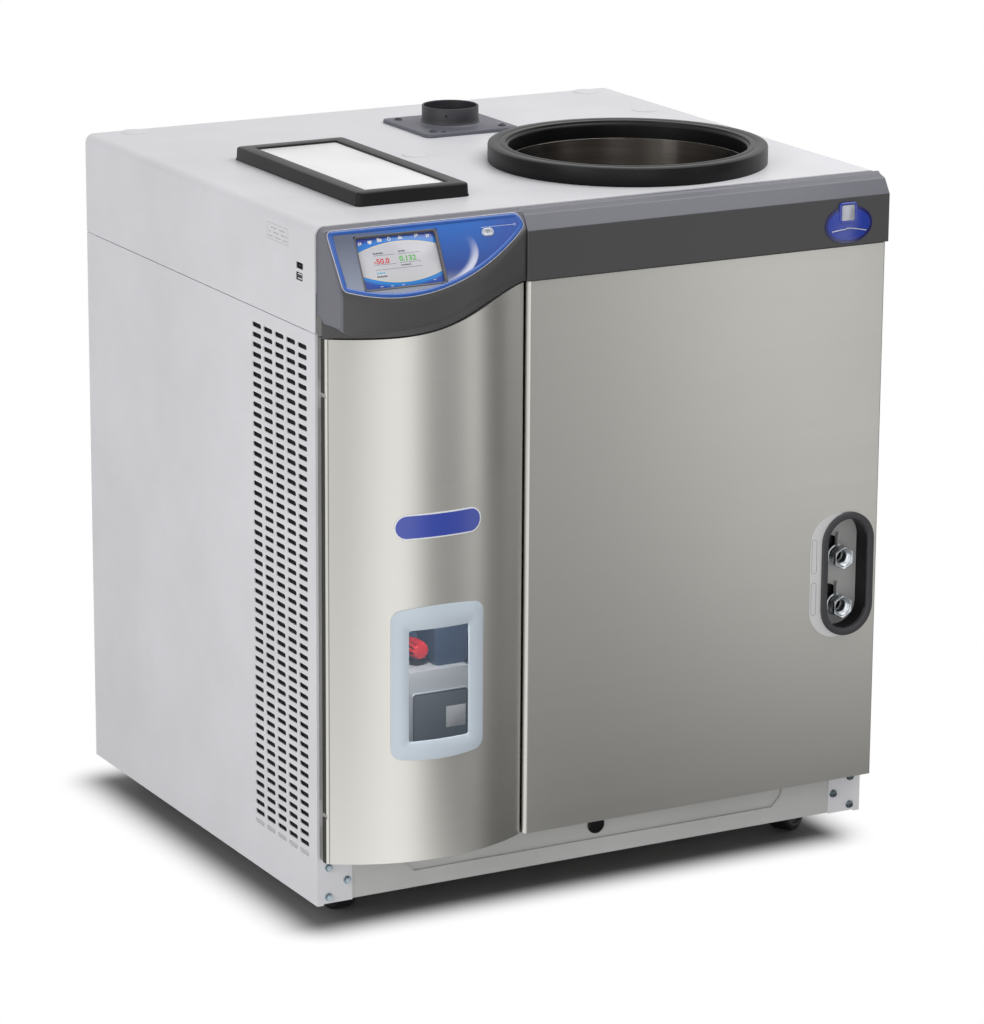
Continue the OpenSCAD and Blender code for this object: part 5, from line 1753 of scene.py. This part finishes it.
@dataclass
class TopDeck(Part):
    """Collector opening, spigot and tray on the cover."""

    x: float = 548.0
    y: float = 197.7
    ring: float = 180.6
    bore: float = 154.0
    spigot: tuple = (458.0, 515.0)

    def build(self) -> None:
        """Builds the fittings on the top."""
        self._ring()
        self._chamber()
        self._coil()
        self._spigot()
        self._tray()

    def _ring(self) -> None:
        """Rubber ring: its section turned round the collector's axis, with a
        stepped sealing bead on the inner side of the top."""
        r, b = self.ring, self.bore
        section = [(b + 18, 0.1), (r - 0.6, 0.1), (r, 0.9), (r, 20.4), (r - 0.6, 22.6),
                   (r - 2.2, 23.5), (b + 12.5, 23.6), (b + 11.8, 23.1), (b + 11.0, 23.1),
                   (b + 10.3, 23.6), (b + 4.6, 23.6), (b + 3.4, 23.2), (b + 2.8, 21.0),
                   (b + 1.2, 20.2), (b + 0.2, 19.2), (b, 17.0), (b, 1.3), (b + 18, 1.3)]
        shell = Shell(Spindle((self.x, self.y, TOP))).turned(section, closed=True, count=160)
        self.make(shell, "collector_ring", "rubber", "rubber", ["collector_gasket"], smooth=40)

    def _chamber(self) -> None:
        """Drawn chamber with a rounded foot and a rolled upper flange."""
        self.finishes.dress({"chamber_insulation": "foam"})
        b = self.bore
        turn = np.linspace(0, np.pi / 2, 8)
        foot = [(b - 14 + 14 * math.sin(t), 616 - 14 * math.cos(t)) for t in turn]
        profile = [(6.0, 602.0), (60, 602.0)] + foot + [
            (b, 700), (b, 800), (b, TOP + 0.4), (b + 0.8, TOP + 1.2), (b + 18, TOP + 1.2),
            (b + 18, TOP + 0.2), (b + 1.6, TOP - 1), (b + 1.5, 700), (b + 1.5, 601.0),
            (6.0, 600.2)]
        shell = Shell(Spindle((self.x, self.y, 0.0))).turned(profile, closed=True, count=128)
        for angle in (30, 150, 270):
            a = math.radians(angle)
            out = np.array([math.cos(a), math.sin(a)])
            side = np.array([-out[1], out[0]])
            strip = np.array([r * out + w * side for r, w in (
                (131, -5), (134, -5), (134, 5), (131, 5))])
            shell.loft([at_height(strip, h) for h in (602.0, 786.0)])
        # the chamber's steel is painted darker than the door's: painted shade inside the bore
        self.make(shell, "chamber_wall", "painted_shade_chamber_steel", "stainless", ["collector_chamber"],
                  smooth=35)

    def _coil(self) -> None:
        """Round tube on the helix (r cos t, r sin t, pitch t / 2 pi)."""
        turns, radius, pitch = 8, 125, 21
        t = np.linspace(0, 2 * np.pi * turns, turns * 60)
        a = t + math.radians(30)
        path = np.stack([self.x + radius * np.cos(a), self.y + radius * np.sin(a),
                         616 + pitch * t / (2 * np.pi)], -1)
        shell = Shell().loft(list(tube(path, 6.0)))
        # the coil shares the darker steel: painted shade inside the bore
        self.make(shell, "cold_coil", "painted_shade_chamber_steel", "stainless", ["collector_coil"], smooth=60)

    def _spigot(self) -> None:
        """Flanged spigot: a square flange with raised corners, a filleted
        collar and a thin pipe."""
        cx, cy = self.spigot
        shell = Shell(Deck(TOP))
        flange = framed(cx - 69, cx + 69, cy - 68, cy + 68, 8, 8)
        corner = resample(flange(1.5), 96)
        turn = np.arctan2(corner[:, 1] - cy, corner[:, 0] - cx)

        def collar(r: float) -> Array:
            """Points of a circle at the bearings of the flange's points."""
            return np.column_stack([cx + r * np.cos(turn), cy + r * np.sin(turn)])

        loops = [at_height(resample(flange(i), 96), h) for i, h in (
            (0, 0.1), (0, 3.6), (0.5, 4.6), (1.5, 5.0))]
        loops += [at_height(collar(r), h) for r, h in (
            (44, 5.0), (41.5, 5.6), (39.6, 7.4), (38.6, 10.0), (38, 14.0), (38, 28.6),
            (37.4, 29.4), (36.2, 29.4), (35.5, 28.6), (35.5, 0.1))]
        tone = (np.arange(len(loops)) < 6).astype(int)[:, None]
        shell.grid(np.stack(loops), wrap_u=True, wrap_v=True, tone=tone)
        self.make(shell, "spigot_body", "spigot_plastic", "dark_plastic", ["port_spigot"],
                  smooth=40, others=["flange_plastic"])
        heads = Shell()
        large = [(0, 4.8), (5.2, 4.8), (5.2, 5.6), (4.2, 6.8), (2.4, 7.3), (2.2, 6.6), (0, 6.6)]
        small = [(0, 4.8), (3.4, 4.8), (3.4, 5.3), (2.4, 5.9), (0, 6.0)]
        corners = [(x, y, large, 28) for y in (-50, 50) for x in (-52, 52)]
        for x, y, head, count in (*corners, (-40, -57, small, 20), (44, 56, small, 20)):
            heads.turned(head, count=count, place=Spindle((cx + x, cy + y, TOP)))
        self.make(heads, "spigot_screws", "spigot_plastic", "dark_plastic")
        across, back = -math.sin(0.62), -math.cos(0.62)
        hole = Shell(Spindle((cx + 38 * across, cy + 38 * back, TOP + 20), (across, back, 0)))
        hole.turned([(0, -0.2), (1.6, -0.2), (1.6, 0.15), (0, 0.15)], count=16)
        self.make(hole, "spigot_hole", "black_plastic", "dark_plastic")

    def _tray(self) -> None:
        """Rubber border with a soft outer foot, and the white plate in it."""
        shell = Shell(Deck(TOP))
        shell.rim(framed(99, 256, 81, 432, 7, 8, shrink=0.3, least=1.2), [
            (0, 0.1), (0, 2.2), (0.7, 3.2), (1.2, 14.6), (2.2, 16.4), (3.8, 17.0), (19.0, 17.0),
            (20.6, 16.6), (21.4, 15.4), (21.4, 0.1)])
        self.make(shell, "tray_border", "rubber", "rubber", ["tray_gasket"], smooth=40)
        plate = Shell(Deck(TOP))
        plate.plate(framed(121, 234.4, 102.6, 410, 2.5, shrink=0.0), 0.1, 14.4, 0.6)
        self.make(plate, "tray_sheet", "white_plate", "white_plate", ["tray_plate"])


@dataclass
class PumpBay(Part):
    """Vacuum pump, its hose and shelf, and the cold side behind."""

    x0: float = 112.0
    x1: float = 252.0
    y0: float = 62.0

    def build(self) -> None:
        """Dresses the solids and adds what the window shows."""
        self.finishes.dress({
            "pump_case": "pump_grey", "pump_motor": "motor_blue", "pump_shelf": "grey_coat",
            "vacuum_hose": "hose_rubber", "compressor": "black_paint", "condenser": "fins",
            "condenser_fan": "black_plastic", "fan_motor": "black_paint"})
        face = Wall(self.y0 - 2.5)
        plates = Shell(face)
        plates.plate(framed(self.x0 + 54.6, self.x1 - 10.6, 112.6, 233.4, 3, shrink=0.0), 0.3, 0.6)
        self.make(plates, "data_plate", "plate_grey", "pump_grey")
        edges = Shell(face)
        edges.plate(framed(self.x0 + 53, self.x1 - 9, 111, 235, 4, shrink=0.0), 0.05, 0.4)
        edges.plate(framed(122.2, 157.8, 110.8, 221.2, 4, shrink=0.0), 0.05, 0.3)
        self.make(edges, "data_plate_edge", "black_paint", "pump_grey")
        pads = Shell(face)
        for x0, x1, z0, z1 in ((212, 240, 186, 214), (176, 206, 128, 148), (210, 240, 128, 148)):
            pads.plate(framed(x0, x1, z0, z1, 1, shrink=0.0), 0.55, 0.75, 0.1)
        pads.plate(framed(123.4, 156.6, 112, 220, 3, shrink=0.0), 0.05, 0.5)
        self.make(pads, "data_pads", "label", "pump_grey")
        self._knob()

    def _knob(self) -> None:
        """Ribbed red knob: radius r + 1.1 cos(12 t) along a waisted profile."""
        place = Spindle((self.x0 + 73, self.y0 + 46.7, 286.0), (0, -1, 0))
        t = np.linspace(0, 2 * np.pi, 144, endpoint=False)
        profile = [(4.2, 0.0, 0), (10.4, 0.0, 0), (10.8, 5.0, 0), (11.2, 6.0, 1), (11.4, 12, 1),
                   (11.0, 28, 1), (10.2, 32.5, 0.6), (8.0, 34.0, 0), (0.01, 34.0, 0)]
        rows = []
        for r, h, rib in profile:
            radius = r + 1.1 * rib * np.cos(12 * t)
            rows.append(np.stack([radius * np.cos(t), radius * np.sin(t), np.full_like(t, h)], -1))
        shell = Shell(place).grid(np.stack(rows), wrap_u=True)
        self.make(shell, "red_knob", "red_knob", "red_knob", ["ballast_knob"], "ballast_knob",
                  smooth=40)


@dataclass
class Casters(Part):
    """Four swivel casters."""

    radius: float = 38.0
    width: float = 30.0
    trail: float = 25.0
    ground: float = 45.0
    inset: float = 76.0
    rear: float = 608.0

    def build(self) -> None:
        """Dresses the plates and forks and builds the wheels."""
        self.finishes.dress({"caster_plates": "bright_steel"})
        far = WIDTH - self.inset
        for key, x, y, turn in (("fl", self.inset, self.inset, 0), ("fr", far, self.inset, -55),
                                ("rl", self.inset, self.rear, 0), ("rr", far, self.rear, 0)):
            self.finishes.dress({"caster_fork_" + key: "bright_steel",
                                 "caster_axle_" + key: "bright_steel"})
            a = math.radians(turn)
            centre = (x - math.sin(a) * self.trail, y + math.cos(a) * self.trail,
                      self.radius - self.ground)
            shell = Shell(Spindle(centre, (math.cos(a), math.sin(a), 0)))
            shell.turned(self._wheel(), closed=True, count=96)
            self.make(shell, "wheel_tyre_" + key, "tyre", "tyre", ["caster_wheel_" + key],
                      "wheel_" + key, smooth=35)

    def _wheel(self) -> Section:
        """Section of a wheel with a recessed web: one side and its mirror.

        Returns:
            Points (radius, place along the axle), from one side to the other.
        """
        r, w = self.radius, self.width / 2
        side = [(4.1, -w), (11, -w), (12.5, -w + 1), (13.5, -w + 4), (r - 10, -w + 4),
                (r - 9, -w + 1), (r - 8, -w), (r - 4, -w), (r - 1.6, -w + 1.4), (r, -w + 4.4)]
        return side + [(at, -along) for at, along in side[::-1]]


# ---- studio ----


@dataclass
class Studio:
    """Camera, floor, lamps and world."""

    place: tuple[float, float, float] = (-2.74794, -5.05544, 1.99887)
    azimuth: float = -28.65
    elevation: float = 15.262
    roll: float = 0.354
    sensor: float = 36.0
    lens: float = 158.494219
    fill: float = 0.43
    shade_centre: tuple = (0.0, 0.058, 0.0)
    shade_half: tuple = (0.368, 0.312, 1.0)
    shade_fade: float = 0.088
    panels: tuple = (("overhead", (0.9, -0.5, 2.6), (0, 0, 0.6), (1.8, 1.8), 24.0),
                     ("left", (-3.0, -1.5, 1.7), (0, 0, 0.5), (1.8, 2.0), 36.0),
                     ("front", (-1.0, -3.6, 1.2), (-0.2, 0, 0.4), (0.7, 2.2), 5.0),
                     ("bay", (-0.261, -0.332, 0.445), (-0.221, -0.25, 0.245), (0.04, 0.04), 0.42))
    front_card: tuple = ((1.0, 1.75, -1.1, -0.35), (1.0, 0.33, -0.25, 0.17),
                         (1.0, 2.35, 0.5, 1.12), (1.0, 0.1, 1.2, 1.5))

    def build(self) -> None:
        """Sets up everything that isn't part of the object."""
        self._camera()
        self._floor()
        self._reflector()
        self._world()
        self._lamps()
        bpy.context.scene.view_settings.view_transform = "Standard"

    def _camera(self) -> None:
        """Long lens at the viewing angle, rolled by a third of a degree."""
        a, e, r = (math.radians(v) for v in (self.azimuth, self.elevation, self.roll))
        back = Vector((math.sin(a) * math.cos(e), -math.cos(a) * math.cos(e), math.sin(e)))
        right = (-back).cross(Vector((0, 0, 1))).normalized()
        up = right.cross(-back)
        right, up = (math.cos(r) * right + math.sin(r) * up,
                     -math.sin(r) * right + math.cos(r) * up)
        data = bpy.data.cameras.new("camera")
        data.lens, data.sensor_width, data.sensor_fit = self.lens, self.sensor, "AUTO"
        data.clip_start, data.clip_end = 0.05, 100.0
        camera = linked("camera", data)
        turn = Matrix((right, up, back)).transposed().to_4x4()
        camera.matrix_world = Matrix.Translation(self.place) @ turn
        bpy.context.scene.camera = camera

    def _floor(self) -> None:
        """Floor that keeps the shadow and fades to plain white round it.

        The fade follows the distance |max(|p - centre| - half, 0)| from a rectangle under the
        cabinet. Over the same fade the floor's own colour goes from dark to pale: a painted shadow
        under the cabinet, added to the shadow that the lamps cast.
        """
        far = 40.0
        floor = staged("floor", [(-far, -far, 0), (far, -far, 0), (far, far, 0), (-far, far, 0)],
                       [(0, 1, 2, 3)])
        material, t, shader = start_material("floor")
        side = t.vector("ABSOLUTE", t.vector("SUBTRACT", t.where(), self.shade_centre))
        past = t.vector("MAXIMUM", t.vector("SUBTRACT", side, self.shade_half), (0.0, 0.0, 0.0))
        clear = t.spread(t.vector("LENGTH", past, output=1), 0.0, 1.0, 0.0, self.shade_fade,
                         "SMOOTHSTEP")
        # painted shadow: the floor's own colour is darker under the cabinet
        tint = t.mix(clear, (0.30, 0.30, 0.30, 1.0), (0.88, 0.88, 0.88, 1.0))
        t.fill(shader, {"Base Color": tint, "Roughness": 0.9, "Specular IOR Level": 0.1})
        share = t.math("MULTIPLY", clear, self._seen(t))
        glow = t.node("ShaderNodeEmission", {"Color": (1, 1, 1, 1), "Strength": 1.0})
        blend = t.node("ShaderNodeMixShader", {0: share, 1: shader.outputs[0],
                                               2: glow.outputs[0]})
        t.feed(t.tree.nodes["Material Output"].inputs[0], blend.outputs[0])
        floor.data.materials.append(material)

    def _reflector(self) -> None:
        """Card in front that only reflections see: it lies on the floor and
        stands up, bright before the door and falling off to the right."""
        x0, x1, y0, y1, top = -3.2, 3.2, -1.55, -0.3, 2.4
        card = staged("reflector", [(x0, y1, 0.002), (x1, y1, 0.002), (x1, y0, 0.002),
                                    (x0, y0, 0.002), (x0, y0, top), (x1, y0, top)],
                      [(0, 3, 2, 1), (3, 4, 5, 2)])
        material, t, _ = start_material("reflector")
        x, y, _ = t.node("ShaderNodeSeparateXYZ", {0: t.where()}).outputs
        level = t.spread(x, *self.front_card[0])
        for step in self.front_card[1:]:
            level = t.math("MULTIPLY", level, t.spread(x, *step, "SMOOTHSTEP"))
        near = t.spread(y, 1.0, 0.12, -1.5, -0.38)
        right = t.spread(x, 0.0, 1.0, -0.35, 0.0, "SMOOTHSTEP")
        level = t.math("MULTIPLY", level, t.math("SUBTRACT", 1.0, t.math(
            "MULTIPLY", right, t.math("SUBTRACT", 1.0, near))))
        glow = t.node("ShaderNodeEmission", {"Color": (1, 1, 0.985, 1), "Strength": level})
        t.feed(t.tree.nodes["Material Output"].inputs[0], glow.outputs[0])
        material.cycles.emission_sampling = "NONE"
        card.data.materials.append(material)
        card.visible_camera = card.visible_diffuse = card.visible_shadow = False
        card.visible_transmission = card.visible_volume_scatter = False

    @staticmethod
    def _seen(t: Tree) -> Socket:
        """Tells rays of the camera, of reflections and through glass.

        Args:
            t: Tree that needs to know.

        Returns:
            A socket that is 1 for these rays and 0 for all others.
        """
        path = t.node("ShaderNodeLightPath")
        some = t.math("MAXIMUM", path.outputs["Is Camera Ray"], path.outputs["Is Glossy Ray"])
        return t.math("MAXIMUM", some, path.outputs["Is Transmission Ray"])

    def _world(self) -> None:
        """White where it is seen, and softer where it only lights.

        The strength goes from the fill to 1 with the rays that see it.
        """
        world = bpy.data.worlds.new("studio")
        bpy.context.scene.world = world
        world.use_nodes = True
        t = Tree(world.node_tree)
        back = world.node_tree.nodes["Background"]
        back.inputs["Color"].default_value = (1, 1, 1, 1)
        t.feed(back.inputs["Strength"], t.spread(self._seen(t), self.fill, 1.0))

    def _lamps(self) -> None:
        """Soft panels overhead, at the left and at the front, and a small one
        behind the window."""
        for name, place, aim, size, power in self.panels:
            data = bpy.data.lights.new(name, "AREA")
            data.shape, data.size, data.size_y, data.energy = "RECTANGLE", *size, power
            lamp = linked(name, data)
            lamp.location = place
            lamp.rotation_euler = (Vector(aim) - Vector(place)).to_track_quat("-Z", "Y").to_euler()
            lamp.visible_camera = False
            lamp.visible_glossy = name in ("overhead", "left")


def staged(name: str, points: Sequence[Sequence[float]],
           faces: Sequence[Sequence[int]]) -> bpy.types.Object:
    """Makes a flat piece of the studio, which isn't part of the object.

    Args:
        name: Its name.
        points: Its corners in metres.
        faces: Its faces.

    Returns:
        The piece.
    """
    mesh = bpy.data.meshes.new(name)
    mesh.from_pydata(points, [], faces)
    piece = linked(name, mesh)
    return piece


def main() -> None:
    """Builds the studio and each sub-assembly in order."""
    logging.basicConfig(level=logging.INFO, format="%(name)s: %(message)s")
    Studio().build()
    finishes = Finishes()
    for part in (Cabinet, Fascia, Door, DrainSide, TopDeck, PumpBay, Casters):
        LOG.info("building %s", part.__name__)
        part(finishes).build()


if __name__ == "__main__":
    main()
